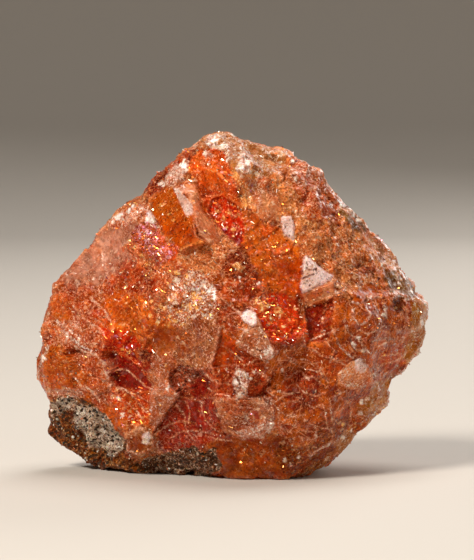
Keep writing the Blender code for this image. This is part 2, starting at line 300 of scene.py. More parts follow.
class Face(Enum):
    """The finishes that the stone shows."""

    SPECKLE = Finish("#630B00", "#791401", "#D27846", 0.55, 0.25, 0.15, 0.36, 0.12, 0.20)
    ROSE_SPECKLE = Finish("#9D2901", "#AD470A", "#E69F78", 0.58, 0.18, 0.10, 0.40, 0.08, 0.20)
    BROWN_SPECKLE = Finish("#B3541C", "#C57135", "#EAB081", 0.60, 0.28, 0.10, 0.40, 0.08, 0.20)
    HAZE = Finish("#B0684E", "#BF836A", "#DEA98F", 0.40, 0.06, 0.00, 0.46, 0.02, 0.60)
    MAROON = Finish("#871A00", "#A32D01", "#DD8B55", 0.48, 0.35, 0.12, 0.34, 0.15, 0.30)
    OLIVE_SPECKLE = Finish("#C0571D", "#D2773F", "#F0B98B", 0.58, 0.30, 0.15, 0.36, 0.10, 0.20)
    ORANGE = Finish("#B94506", "#C95A06", "#F09F5B", 0.36, 0.18, 0.08, 0.30, 0.25, 0.20)
    DEEP_ORANGE = Finish("#B33500", "#C64A00", "#EC8530", 0.20, 0.15, 0.05, 0.28, 0.15, 0.50)
    ORANGE_RED = Finish("#C73F05", "#DA5705", "#FC9E5D", 0.40, 0.15, 0.10, 0.28, 0.35, 0.20)
    RED = Finish("#B01000", "#C42400", "#FF7A30", 0.42, 0.12, 0.10, 0.22, 0.55, 0.35)
    DARK_RED = Finish("#700100", "#920200", "#DB5C32", 0.18, 0.20, 0.20, 0.24, 0.20, 0.50)
    WINE_FOLD = Finish("#880C00", "#A12200", "#DE8F70", 0.36, 0.30, 0.35, 0.30, 0.12, 0.50)
    RED_GLITTER = Finish("#BD1200", "#D43702", "#FA8B3C", 0.28, 0.15, 0.20, 0.22, 0.85, 0.20)
    AMBER = Finish("#B44B01", "#AC4100", "#E6A657", 0.34, 0.32, 0.00, 0.26, 0.06, 0.85)
    DEEP_AMBER = Finish("#9D3200", "#B24200", "#D48229", 0.16, 0.35, 0.00, 0.26, 0.04, 0.85)
    BROWN_AMBER = Finish("#9B3A00", "#7D2800", "#DA974B", 0.38, 0.45, 0.30, 0.30, 0.10, 0.60)
    SMOOTH_AMBER = Finish("#913202", "#A14A0C", "#DA8F5A", 0.18, 0.18, 0.12, 0.26, 0.04, 0.70)
    PEACH = Finish("#9D561A", "#AA6931", "#E6C8A6", 0.46, 0.08, 0.08, 0.34, 0.04, 0.40)
    PEACH_ORANGE = Finish("#FF9444", "#FFA95D", "#FFDFA8", 0.46, 0.08, 0.05, 0.34, 0.08, 0.40)
    ROSE_GLASS = Finish("#C46E44", "#CE875A", "#ECC2A1", 0.30, 0.05, 0.05, 0.24, 0.02, 0.70)
    SLIVER = Finish("#D5B0A5", "#CBA08F", "#F1DDCE", 0.45, 0.05, 0.00, 0.22, 0.00, 0.95)
    WHITE_FACE = Finish("#F6DEDB", "#E6C6C0", "#FFFAF9", 0.35, 0.20, 0.00, 0.24, 0.00, 0.97)
    WHITE_CRUMBS = Finish("#BF9079", "#A95A3C", "#F3E0D2", 0.80, 0.12, 0.10, 0.26, 0.00, 0.00)
    PINK_CRUMBS = Finish("#B6480B", "#C06233", "#F2C8B0", 0.75, 0.12, 0.10, 0.32, 0.05, 0.20)
    FROST = Finish("#E38A50", "#D67334", "#FFEBD2", 0.50, 0.10, 0.25, 0.34, 0.02, 0.80)
    GREY_PLATE = Finish("#883509", "#AA6539", "#EFB596", 0.50, 0.30, 0.06, 0.34, 0.06, 0.70)
    OLIVE_GLASS = Finish("#954626", "#B16E4A", "#F9D9C2", 0.46, 0.25, 0.12, 0.26, 0.04, 0.70)
    PALE_GLASS = Finish("#B15529", "#C1734A", "#F4D2C1", 0.46, 0.12, 0.20, 0.24, 0.02, 0.70)
    PALE_SHELF = Finish("#94360F", "#C06C3B", "#FED4B3", 0.42, 0.25, 0.30, 0.30, 0.04, 0.65)
    MAGENTA = Finish("#BC4810", "#A83D1C", "#F9B4BD", 0.50, 0.25, 0.05, 0.26, 0.95, 0.20)
    GOLD = Finish("#B54C26", "#C46230", "#FFD09E", 0.45, 0.30, 0.08, 0.24, 1.00, 0.20)
    GOLD_FROST = Finish("#B04E1A", "#B86C44", "#FBE4CC", 0.66, 0.25, 0.08, 0.24, 0.85, 0.20)
    GLOWING_STREAKS = Finish("#B31D00", "#C63F01", "#FDAA66", 0.50, 0.12, 0.55, 0.20, 0.60, 0.20)
    WEB = Finish("#882400", "#C75C07", "#F9AA7A", 0.32, 0.30, 0.80, 0.30, 0.06, 0.70)
    DARK_WEB = Finish("#7D0900", "#BA3D04", "#F1905C", 0.36, 0.45, 0.85, 0.30, 0.05, 0.70)
    AMBER_WEB = Finish("#C04802", "#942701", "#F6A05A", 0.34, 0.25, 0.75, 0.26, 0.04, 0.70)
    BEIGE_GLASS = Finish("#C07726", "#A45B0B", "#FFF0D2", 0.30, 0.12, 0.30, 0.16, 0.02, 0.85)
    GREY_GLASS = Finish("#68360E", "#744B1A", "#D0B08E", 0.34, 0.18, 0.15, 0.26, 0.02, 0.70)
    ROSE_RIM = Finish("#AB6131", "#B97B4C", "#EAC09F", 0.52, 0.12, 0.10, 0.32, 0.04, 0.50)
    PIT = Finish("#AF411E", "#862A16", "#E8AF8F", 0.45, 0.60, 0.15, 0.30, 0.05, 0.20)
    # Painted glints: small white, gold and magenta highlights, painted on as colour.
    PAINTED_GLINT = Finish("#FFF2E4", "#F4D8C2", "#FFFFFF", 0.60, 0.10, 0.00, 0.12, 0.00, 0.60)
    PAINTED_GOLD_GLINT = Finish("#F4B060", "#E89848", "#FFE8B8", 0.60, 0.05, 0.00, 0.12, 0.30, 0.60)
    PAINTED_MAGENTA_GLINT = Finish("#E08CB0", "#C870A0", "#F8C8E8", 0.50, 0.05, 0.00, 0.14, 0.30, 0.60)
    CRACK = Finish("#D88E66", "#C87650", "#FADCC4", 0.80, 0.10, 0.00, 0.24, 0.05, 0.20)
    JOINT = Finish("#6A1E04", "#541404", "#B06A44", 0.20, 0.50, 0.00, 0.40, 0.00, 0.40)
    HOST_PALE = Finish("#D1C0AD", "#B8A590", "#E9DECF", 0.50, 0.60, 0.00, 0.70, 0.00, 0.00, 1.00)
    HOST_OLIVE = Finish("#6E2A03", "#8E4C0B", "#D1A56F", 0.50, 0.80, 0.00, 0.62, 0.00, 0.00, 0.90)
    HOST_GREEN = Finish("#845A3B", "#59381C", "#E9CCB0", 0.60, 0.90, 0.00, 0.62, 0.00, 0.00, 0.90)


def places_of(trail: str) -> tuple[tuple[float, ...], ...]:
    """Reads places that are written as numbers with commas between, and a space between two places."""
    return tuple(tuple(float(number) for number in place.split(",")) for place in trail.split())


@dataclass(frozen=True)
class Patch:
    """One patch of the front. The trail leads round its corners, each a column and a row of the photograph.

    soft is how many pixels its edge fades over, wander how many pixels it strays, and strength how much
    of its finish it takes. Where stand is given, the patch is flattened and its face stands that many
    millimetres out, tipped by tilt millimetres for each millimetre to the right and up.
    """

    name: str
    face: Face
    trail: str
    soft: float = 1.0
    wander: float = 0.0
    strength: float = 1.0
    stand: float | None = None
    tilt: Pair = (0.0, 0.0)

    @property
    def corners(self) -> tuple[Pair, ...]:
        """The patch's corners."""
        return places_of(self.trail)


BROAD_PATCHES = (
    Patch("left face", Face.ROSE_SPECKLE, "96,236 140,225 190,270 190,330 100,350 44,350 52,290", 12, 6),
    Patch("upper right face", Face.BROWN_SPECKLE,
          "246,200 262,176 285,156 348,204 398,262 400,298 345,302 310,262 294,240 268,236", 8, 6),
    Patch("cracked lower right", Face.WEB,
          "268,350 310,342 330,306 350,298 390,296 416,330 406,365 384,402 350,428 316,444 285,444 "
          "272,425 270,395", 8, 4),
    Patch("lower middle", Face.MAROON, "200,366 262,352 272,400 262,440 212,444 196,400", 6, 4),
    Patch("lower left", Face.ORANGE, "44,345 110,345 152,392 150,432 100,415 44,400", 8, 5),
    Patch("foot", Face.SMOOTH_AMBER,
          "204,440 240,438 272,438 304,450 296,474 262,480 226,480 208,470", 4, 2),
)

PATCHES = (
    Patch("upper left haze", Face.HAZE,
          "104,226 130,216 146,226 140,250 126,272 92,286 60,290 60,268 84,246", 9, 5),
    Patch("maroon shade", Face.MAROON, "112,262 140,260 162,280 152,298 120,292", 7, 4, 0.8),
    Patch("left orange", Face.ORANGE, "50,298 72,300 70,326 54,328", 5, 3, 0.7),
    Patch("left pink frost", Face.PINK_CRUMBS, "58,322 86,324 96,348 76,352 58,340", 7, 4, 0.7),
    Patch("golden flank", Face.ORANGE, "106,302 128,290 150,300 176,318 178,334 150,350 112,346", 7, 4),
    Patch("amber bulge", Face.AMBER, "38,352 52,344 66,356 80,372 78,392 60,400 44,396", 5, 2.5),
    Patch("crumbs over the host rock", Face.WHITE_CRUMBS, "50,390 66,386 86,390 84,399 60,398", 2, 2, 0.7),
    Patch("rose flank", Face.ROSE_SPECKLE, "64,346 104,348 120,374 114,402 98,414 82,398 86,372", 7, 4),
    Patch("red brow", Face.RED, "97,331 128,328 138,346 130,355 106,351", 4, 2),
    Patch("hot hollow", Face.DARK_RED,
          "102,352 116,351 132,354 146,366 152,389 140,396 122,388 108,370",
          3.5, 2, 1.0, 0.0, (0.08, 0.0)),
    Patch("wavy glints", Face.GLOWING_STREAKS, "112,385 136,391 150,398 150,425 128,424 114,406", 4, 2),
    Patch("pale flank", Face.PALE_GLASS, "152,340 176,346 178,386 160,392 151,372", 5, 3, 0.6),
    Patch("plate root", Face.SMOOTH_AMBER, "150,324 174,322 180,350 156,352", 6, 3, 0.9),
    Patch("wine fold", Face.WINE_FOLD, "176,401 202,396 218,402 214,438 190,453 160,449 155,432", 2.5, 2),
    Patch("wine fold depth", Face.DARK_RED, "182,408 200,400 212,404 206,428 186,430", 4, 2, 0.8),
    Patch("wedge plate", Face.PALE_GLASS,
          "150.5,391 166,384 181,391 175.5,401 154,431 149.5,411", 0.9, 0, 1.0, 0.35, (-0.15, 0.0)),
    Patch("ring knob", Face.ROSE_RIM, "124,432 140,426 154,433 157,449 142,458 125,453", 1.5, 1, 1.0, 0.5),
    Patch("ring core", Face.SMOOTH_AMBER, "129,438 139,436 146,446 138,453 129,449", 1.5, 1),
    Patch("ring spark", Face.WHITE_FACE, "141.5,435 148,432 151,438 147,445 141,443", 0.8, 0.6),
    Patch("host rock", Face.HOST_OLIVE,
          "45,402 60,395 78,396 99,407 124,440 124,456 148,472 118,476 84,468 58,452 44,442", 1.2, 2.5),
    Patch("pale host rock", Face.HOST_PALE,
          "76,404 97,408 109,421 121,438 122,453 112,457 89,446 82,433 73,418", 1.2, 2.5),
    Patch("pale host corner", Face.HOST_PALE, "49,404 60,396 76,397 79,405 64,411 52,418", 1.2, 2),
    Patch("host rock underside", Face.HOST_GREEN,
          "140,470 150,458 166,450 194,446 216,450 222,466 206,480 150,480", 1.2, 2.5),
    Patch("rim crumbs", Face.PINK_CRUMBS, "106,224 118,211 134,206 147,204 151,214 138,222 120,228", 3, 2),
    Patch("rim brown", Face.SPECKLE, "143,198 152,178 168,168 164,183 152,196", 2.5, 2),
    Patch("rim white", Face.WHITE_CRUMBS, "160,186 170,168 188,156 195,162 184,180 168,187", 3, 2, 0.7),
    Patch("amber slab", Face.AMBER,
          "152,217 151,201 156,193 173,187 187,200 193,214 198,236 208,243 187,250 179,253 165,233",
          1.5, 1.0, 1.0, 0.1, (0.0, -0.05)),
    Patch("slab depth", Face.DEEP_AMBER, "162,228 178,222 196,232 202,242 186,250 179,251", 5, 2),
    Patch("slab haze", Face.ROSE_GLASS, "173,186 190,184 199,194 201,208 194,209 186,196", 2.5, 1, 0.8),
    Patch("pale sliver", Face.SLIVER,
          "173,187.5 178,188.5 187,199 192.6,206 192.6,213 187,217 182,207", 0.8, 0.3),
    Patch("pale band", Face.ROSE_GLASS,
          "194,200 199,204 207,216 214,226 224,240 209,244 200,236 194,215",
          1.2, 0.5, 0.9, 0.1, (-0.1, 0.0)),
    Patch("white tooth", Face.WHITE_FACE, "148.6,209.5 154.5,218.5 150,222 144.8,222.5", 0.8),
    Patch("magenta strip", Face.MAGENTA,
          "133,226 145,222 154,222 165,234 177,253 170,262 150,260 136,250 128,238", 2.5, 2.5),
    Patch("gold line", Face.GOLD,
          "122,244 132,241 150,261 174,262 190,280 172,290 146,274 130,262", 3.5, 3.5),
    Patch("gold flank line", Face.GOLD, "148,296 166,290 182,306 176,322 158,314", 4, 3),
    Patch("olive foot of slab", Face.OLIVE_SPECKLE,
          "180,253 208,245 223,242 228,262 212,276 188,273", 3, 3),
    Patch("crown", Face.PEACH,
          "196,152 204,136 221,131 240,133 264,146 288,153 278,170 260,182 250,194 238,186 230,165 "
          "223,154 216,146", 2.5, 1.5),
    Patch("peach band", Face.PEACH_ORANGE, "236,172 250,166 262,190 260,216 246,208 238,188", 5, 3),
    Patch("peach flank", Face.ROSE_GLASS,
          "244,174 262,180 276,200 282,222 268,216 258,206 248,194", 6, 3, 0.75),
    Patch("crown rim", Face.PINK_CRUMBS,
          "294,158 318,169 340,191 352,205 344,209 326,192 300,174", 3, 2, 0.8),
    Patch("red band", Face.ORANGE_RED,
          "190,158 215,146 223,155 228,164 232,184 242,201 236,207 222,197 211,200 207,211 203,197 "
          "199,184 191,170", 1.8, 2),
    Patch("red cleft", Face.RED,
          "211,199 223,196 236,205 243,212 245.5,226 244,245 234,242 217,226 207,211",
          1.2, 0.6, 1.0, -0.45, (0.15, 0.0)),
    Patch("cleft foot", Face.DARK_RED, "219,227 230,232 243,230 243,247 234,243", 3, 1.5, 0.9),
    Patch("crown spark", Face.WHITE_CRUMBS, "207,137 217,134.5 220,141 212,145.5 206,143", 1, 1),
    Patch("crown block", Face.WHITE_CRUMBS,
          "239,154 247,151.5 251,160 250.5,173 243,175.5 237.5,168", 1, 1.2, 1.0, 0.3),
    Patch("crown flecks", Face.WHITE_CRUMBS, "223,147 231,146 232,159 226,161", 2, 1.5, 0.7),
    Patch("crown dot", Face.WHITE_CRUMBS, "205,151 211,151 212,158 206,159", 1.5, 1, 0.7),
    Patch("grey flecks", Face.PINK_CRUMBS, "248,182 260,178 268,190 264,206 252,198", 4, 3, 0.6),
    Patch("rusty shoulder", Face.ROSE_SPECKLE,
          "290,164 320,178 343,206 336,226 312,216 296,192", 7, 4, 0.8),
    Patch("small pale facet", Face.WHITE_FACE,
          "281,217 291.6,215.5 294.8,222 293.7,240 284,235 280.6,227", 0.8, 0.2, 0.9, 0.25),
    Patch("grey shoulder", Face.GREY_GLASS, "338,202 353,207 364,224 368,236 352,230 341,217", 2, 1.5),
    Patch("rose shoulder", Face.ROSE_RIM, "366,232 387,245 400,264 400,276 386,268 372,252", 3, 2),
    Patch("dark specks", Face.PIT, "366,265 374,262 379,270 374,276 367,273", 2, 2, 0.6),
    Patch("right shoulder", Face.GREY_GLASS, "386,270 405,270 416,284 416,298 396,297 387,284", 3, 2),
    Patch("right knob", Face.BEIGE_GLASS,
          "413,298 430,297 434,310 432,324 430,346 422,362 408,369 402,350 411,330 409,312", 2.0, 1.5),
    Patch("brown hole", Face.BROWN_AMBER, "393,300 402,297 407,306 400,314 394,310", 1.2, 0.5, 1.0, -0.5),
    Patch("amber window", Face.AMBER, "352,291 370,284 382,286 379,298 360,303 352,299", 1.5, 1),
    Patch("amber cells", Face.AMBER_WEB, "386,347 403,343 409,352 404,367 390,373 381,362", 3, 2),
    Patch("orange field", Face.ORANGE,
          "245,208 262,215 281,238 296,246 303,262 301,290 280,297 264,287 250,264 245,246", 5, 3),
    Patch("orange depth", Face.DEEP_ORANGE, "280,264 302,258 301,293 288,297 276,286", 3, 1.5),
    Patch("red scatter", Face.MAROON, "226,262 246,262 264,286 260,302 238,306 222,296", 4, 3, 0.7),
    Patch("set crystal", Face.PEACH_ORANGE,
          "233.2,265.8 238,262 244.4,266.8 240.9,271.8", 0.7, 0, 1.0, 0.4),
    Patch("white triangle", Face.WHITE_FACE,
          "305,255 332.2,276.5 330.8,279.8 302.3,294 300.6,287 302.5,268", 0.6, 0, 1.0, 0.6, (0.0, 0.1)),
    Patch("triangle foot", Face.ROSE_GLASS,
          "302.5,293.8 329.5,282.4 335.5,280.5 334.8,294.8 305.7,306.4", 0.7, 0, 0.9, 0.2, (0.0, 0.5)),
    Patch("triangle foot glow", Face.DEEP_AMBER, "305,295 320,289 324,294 309,302", 1.5, 0.5, 0.7),
    Patch("square recess", Face.MAROON,
          "306.5,307.8 333,297.5 334,318 328,342 310,342", 1.2, 0.5, 1.0, -0.4),
    Patch("recess depth", Face.DARK_RED, "307,309 322,303 322,330 309,336", 3, 1, 0.7),
    Patch("red hollow", Face.RED_GLITTER,
          "257,300 264,292 300,296 303.5,311 306,330 297,343 281,345 264,330 257,314", 4, 3, 1.0, -0.25),
    Patch("gold blobs", Face.GOLD, "255,296 266,295 270,306 262,312 255,306", 2.5, 2, 0.8),
    Patch("centre frost", Face.GOLD_FROST,
          "172,278 196,270 212,284 217,300 214,322 196,331 178,328 166,306", 4, 3),
    Patch("centre blaze", Face.WHITE_CRUMBS, "186,284 200,278 209,288 205,302 190,304", 4, 3, 0.6),
    Patch("centre plate", Face.GREY_PLATE,
          "176,330 192,318 215,320 221.5,330 212,367 204,371 186,370 173,358",
          1.8, 1, 1.0, 0.15, (0.04, 0.0)),
    Patch("plate shade", Face.BROWN_AMBER, "177,334 190,330 192,356 180,362 175,350", 5, 2, 0.6),
    Patch("orange wedge", Face.DEEP_ORANGE,
          "221,333 228,326 236,340 232,367 212,368 217,350", 1.0, 0.4, 1.0, -0.15),
    Patch("pyramid", Face.OLIVE_GLASS,
          "235.5,343.4 239.3,335.4 247,328 256.5,313 262.5,328 268.8,340.7 275.5,351.5 274,354.5 "
          "266,359.3 251,356 243,349", 0.8, 0.3, 0.9, 0.5, (0.05, -0.1)),
    Patch("pyramid side", Face.ROSE_SPECKLE, "225,320 241,311 243,325 234,338 226,334", 1.5, 1),
    Patch("pyramid cap", Face.WHITE_FACE,
          "241,315 247.6,308.6 257,312.5 256.6,324.5 252,326.5 243,321", 0.6, 0, 1.0, 0.4),
    Patch("pyramid glow", Face.BROWN_AMBER, "243,332 252,330 256,338 250,344 243,341", 2.5, 1.5, 0.6),
    Patch("pyramid tip", Face.WHITE_CRUMBS, "263,352 271,345 276,353 268,359 262,358", 1.5, 1, 0.9),
    Patch("dark pit", Face.PIT,
          "169,372 180,367 196,370 207,372 202,384 190,391 176,393 169,383", 1.5, 1.5, 0.85, -0.25),
    Patch("pit side", Face.DARK_RED, "190,386 204,376 212,381 206,393 193,398", 2, 1),
    Patch("clear stub", Face.WHITE_CRUMBS,
          "236,368 246,370 249.5,378 247.5,398 236,399 233.5,384", 1.0, 1.0, 0.9, 0.5),
    Patch("shelf", Face.PALE_SHELF,
          "214,399 240,398 262,396 276,408 274,425 262,437 240,439 222,431",
          1.2, 1, 1.0, 0.35, (0.0, 0.1)),
    Patch("shelf edge", Face.PALE_GLASS, "241,427 262,421 274,414 275.5,424 263,437 243,440", 1, 0.6),
    Patch("shelf shade", Face.DARK_WEB, "222,400 246,402 252,412 240,416 226,410", 3, 2, 0.6),
    Patch("shelf light", Face.WHITE_CRUMBS,
          "236,430 246,426 258,423 271,416 275.5,409 274,428 262,437 240,439", 1.5, 1.2, 0.75),
    Patch("shelf crumbs", Face.WHITE_CRUMBS, "262,396 272,398 273,407 264,406", 2, 1.5, 0.6),
    Patch("shelf hole", Face.DARK_RED, "252,410 259,411 260,419 254,418", 1.5, 1, 0.8),
    Patch("orange cells", Face.AMBER_WEB, "318,350 340,345 346,372 330,381 312,366", 4, 3, 0.8),
    Patch("dark cells", Face.DARK_WEB, "284,372 318,370 324,392 300,408 278,398", 5, 3),
    Patch("foot glow", Face.ORANGE, "232,446 262,440 276,446 270,462 240,464", 5, 3, 0.8),
    Patch("foot crystals", Face.WHITE_CRUMBS, "281,458 292,454 301,456 298,465 284,467", 2, 1.5, 0.7),
    Patch("olive cells", Face.BROWN_AMBER, "314,421 350,417 347,437 320,442", 3, 2),
    Patch("frosted face", Face.FROST,
          "349,362 360,357.6 368,366.5 373,377 373,385 352,389 337,385 338,374",
          1.2, 0.8, 1.0, 0.5, (0.05, 0.1)),
    Patch("frost light", Face.WHITE_FACE, "354,361 360,357.6 368,367 366,374 356,371", 2.5, 1, 0.9),
    Patch("beige rim", Face.BEIGE_GLASS,
          "373,386 386,377 400,376 392,406 372,428 342,454 318,470 298,476 298,464 328,448 350,430 "
          "362,404", 4, 3, 0.9),
    Patch("rim amber", Face.AMBER, "351,421 369,415 365,428 353,433", 1.5, 1),
    Patch("foot brown", Face.BROWN_AMBER, "274,446 300,446 334,440 336,452 316,466 282,474", 5, 3),
)


@dataclass(frozen=True)
class Lines:
    """Thin lines of the front that share a finish. Each row of trails leads through some pixels.

    width is in pixels, and stand is how many millimetres they stand out.
    """

    name: str
    face: Face
    width: float
    stand: float
    trails: str

    @property
    def runs(self) -> tuple[tuple[Pair, ...], ...]:
        """The corners of each line."""
        return tuple(places_of(trail) for trail in self.trails.strip().splitlines())


LINES = (
    Lines("cracks of the lower right", Face.CRACK, 1.25, 0.06, """
        280,405 287,402.7 292,401 300.6,401.5
        280,391.8 288.5,394.2 293.3,393
        329.7,398 330.3,407.6 331.5,417.3 333.3,424.5
        339.4,405 334.5,416 333.3,424.5
        322.4,404 324.8,413.6 326.7,424.5 327.3,428.2
        304.2,418.5 311.5,424.5 320,427.6 327.3,428.2 333.3,431.8
        280,423.3 287.3,418.5 294.5,414.8 298.2,417.3
        295.8,414.8 295.8,423.3 289.7,431.8 284.8,430.6 280,425.8
        300.6,436.7 304.2,445.2 308,448.8
        314,425.8 316.4,435.5 315.2,441.5
        331,428.2 333.3,435.5 331,442.7
        287.3,378.5 294.5,373.6 300.6,370 308,379.7
        316.4,364 322.4,374.8 328.5,382
        300.6,359 308,360.3 316.4,368.8 322,368
        309,341 320,336 329.7,331.8 338,329
        332,328.8 338.2,338.5 340.6,345.8 348,354 352.7,358
        345.5,326.4 352.7,336 360,342 363.6,347
        343,383.3 352.7,386 362.4,387 372,383.3
        369.7,362.7 373.3,374.8 377,383.3 380.6,390.6
        377,347 386.7,342 396.4,341 404,338
        380.6,356 390.3,354.2 401.2,353
        377,367.6 386.7,362.7 396.4,361.5 407.3,350.6
        402.4,304.5 408.5,310.6 407.3,320.3 414.5,328.8
        389,293.6 401.2,293.6 408.5,299.7 414.5,298.5
        262,372 270,380 268,390 276,398
        296,384 304,392 316,396 326,392
        306,404 314,408 322,404
        334,396 346,391
        346,400 352,410 350,418
        360,330 368,334 378,330 388,332
    """),
    Lines("lit rim of the right", Face.WHITE_CRUMBS, 2.0, 0.06, """
        417,301 425,304 428.5,314 427,325
        427,332 424.5,345 415,355
        411,330 418,336 415,348
        404,366 395,378 388,392 386,404
        384,404 372,414 358,424
        338,440 322,446 308,456
    """),
    Lines("threads of the middle", Face.CRACK, 1.15, 0.06, """
        222,300 232,306 240,312
        222,345 232,352 242,360
        244,366 256,360 268,359
        258,372 266,378 272,392
        262,396 276,402 284,396 300,392
        276,370 286,372 284,380
        284,352 292,362 304,368 318,372
        300,380 312,376 322,384
        270,400 280,410 278,424 284,436
        278,412 292,416 306,414
        290,424 300,430 312,432
        204,372 212,380 222,384 232,380
        208,388 216,394 230,396
        312,348 320,356 334,358 346,366
        326,342 334,350 330,362
        288,442 298,436 310,440 322,436
    """),
    Lines("frosted bands of the right", Face.WHITE_CRUMBS, 2.2, 0.10, """
        352.7,302 360,303.3 367.3,299.7 377,297.3
        352,309 354,318 360,325 367,322 370,314 366,307
        383,304.5 385.5,311.8 386.7,318
        372,342 380.6,338.5 389,338.5 401,341
        351.5,339.7 353.9,347 356.4,349.4
        364.8,348.2 369.7,353
        338,342 340.6,347 348,354 352.7,358
    """),
    Lines("streaks of the right shoulder", Face.PALE_GLASS, 1.7, 0.08, """
        371,256 377,270 383,284
        380,258 392,268 404,278
        362,234 372,247 384,262
        388,288 398,292 410,297
        342,208 353,218 366,235 381,243 392,258
        396,274 400,286 396,296
    """),
    Lines("threads of the left flank", Face.CRACK, 1.6, 0.10, """
        103.8,351 111.4,371.6 121.6,369 129.3,371.6 137,378 146,387 152,389.5
        106.3,353.8 116.5,366.5 111.4,374 116.5,378
        82,351 94.8,353.8 101.2,361.4 109,379.3 116.5,387 126.7,392 139.5,397 148.4,402
        101.2,376.7 111.4,387 116.5,392 121.6,399.7 129.3,404.8 137,412.4 142,418.8
        111.4,384.4 123,388.2 131.8,396 139.5,402.2 146,412.4
        70,372 80,384 92,392 100,402
        60,330 72,344 84,352
        92,300 104,310 112,322
        74,306 84,318 96,326 104,334
    """),
    Lines("lit edge of the brow", Face.GLOWING_STREAKS, 3.0, 0.15, """
        101,350 111.4,351 121.6,353.8 131.8,359 142,367.8 146,374
        113,389 123,393 131,401 138,409 144,417
        124,402 132,410 138,419
        134,396 142,403 148,410
    """),
    Lines("edges of the plates", Face.PALE_GLASS, 1.7, 0.12, """
        149.7,391 150.3,405 152.2,429
        177.8,396 167.6,411 160,422.7 153,431.6
        149.7,391 157.3,384.4 167.6,379.3 174,388 177.8,396
        220.5,325.5 218.8,335.4 216,349.6 211.6,362 203.6,369.3 194.6,368.4
        209.6,367.8 225,365.3 239,365.3
        223,319.3 232,313 242,312
        223,319.3 230,325 238,328 246,330
        256.3,314 262.5,328 268.8,340.7 275,351.4 274,354 266,359 251,356 243,349
        176.5,396 186.7,398.4 199.4,401 205.8,397 217.3,398.4 239,398.4 258,396
        129.3,440.5 128,450.7 134.4,454.5 146,452 153.5,447 153.5,439
    """),
    Lines("bands of the shelf", Face.PALE_GLASS, 1.7, 0.10, """
        221.7,400 228,403 236.7,406.7 251.7,408.3
        216.7,403.3 222,409 228.3,415 240,423.3 258.3,421.7 266,418
        218,412 226,420 236,428
        222,426 236,425 250,428
        228,434 240,436.5 256,436 266,430
    """),
    Lines("threads of the wine fold", Face.CRACK, 1.1, 0.06, """
        160,430 170,424 182,421 196,424
        168,440 180,432 196,430 214,434
        186,402 190,412 188,424
        200,402 204,414 212,426 222,434
        176,406 184,416 186,430 196,442
        206,436 220,440 236,441
    """),
    Lines("red threads of the cleft", Face.GOLD, 2.0, 0.15, """
        216,203 221,209
        223,214 224.5,222
        231,211 233,217
        232,226 233.5,233
        236,217 239,213
    """),
    # Painted gold highlights along the edges of the set crystals.
    Lines("outlines of the set crystals", Face.PAINTED_GOLD_GLINT, 1.3, 0.1, """
        233.2,265.8 238,262 244.4,266.8 240.9,271.8 233.2,265.8
        275,309 279,307.3 283.3,312 280,317 275.3,314.5 275,309
    """),
    Lines("lit rim of the left", Face.WHITE_CRUMBS, 2.6, 0.05, """
        41,382 39.5,368 43.5,356 48,346
        56,320 64,331 72,338.5 82,346 91,351
    """),
    Lines("dark joints", Face.JOINT, 1.5, -0.15, """
        237,376 240,384
        302.5,278.6 308,276 314,274
        306,268 311,270 316,268
        306,306 307,318 309,334
        222.5,333 219.8,343 217,353 212.5,365
        238,399.8 250,400 262,398
        154,432 161,424 169,412 179,398
    """),
)


@dataclass(frozen=True)
class Spots:
    """Small bright or dark bits of the front that share a finish.

    trail gives a column, a row and a radius in pixels for each, and stand is how many millimetres they
    stand out.
    """

    name: str
    face: Face
    stand: float
    trail: str

    @property
    def places(self) -> tuple[Triple, ...]:
        """The column, row and radius of each."""
        return places_of(self.trail)


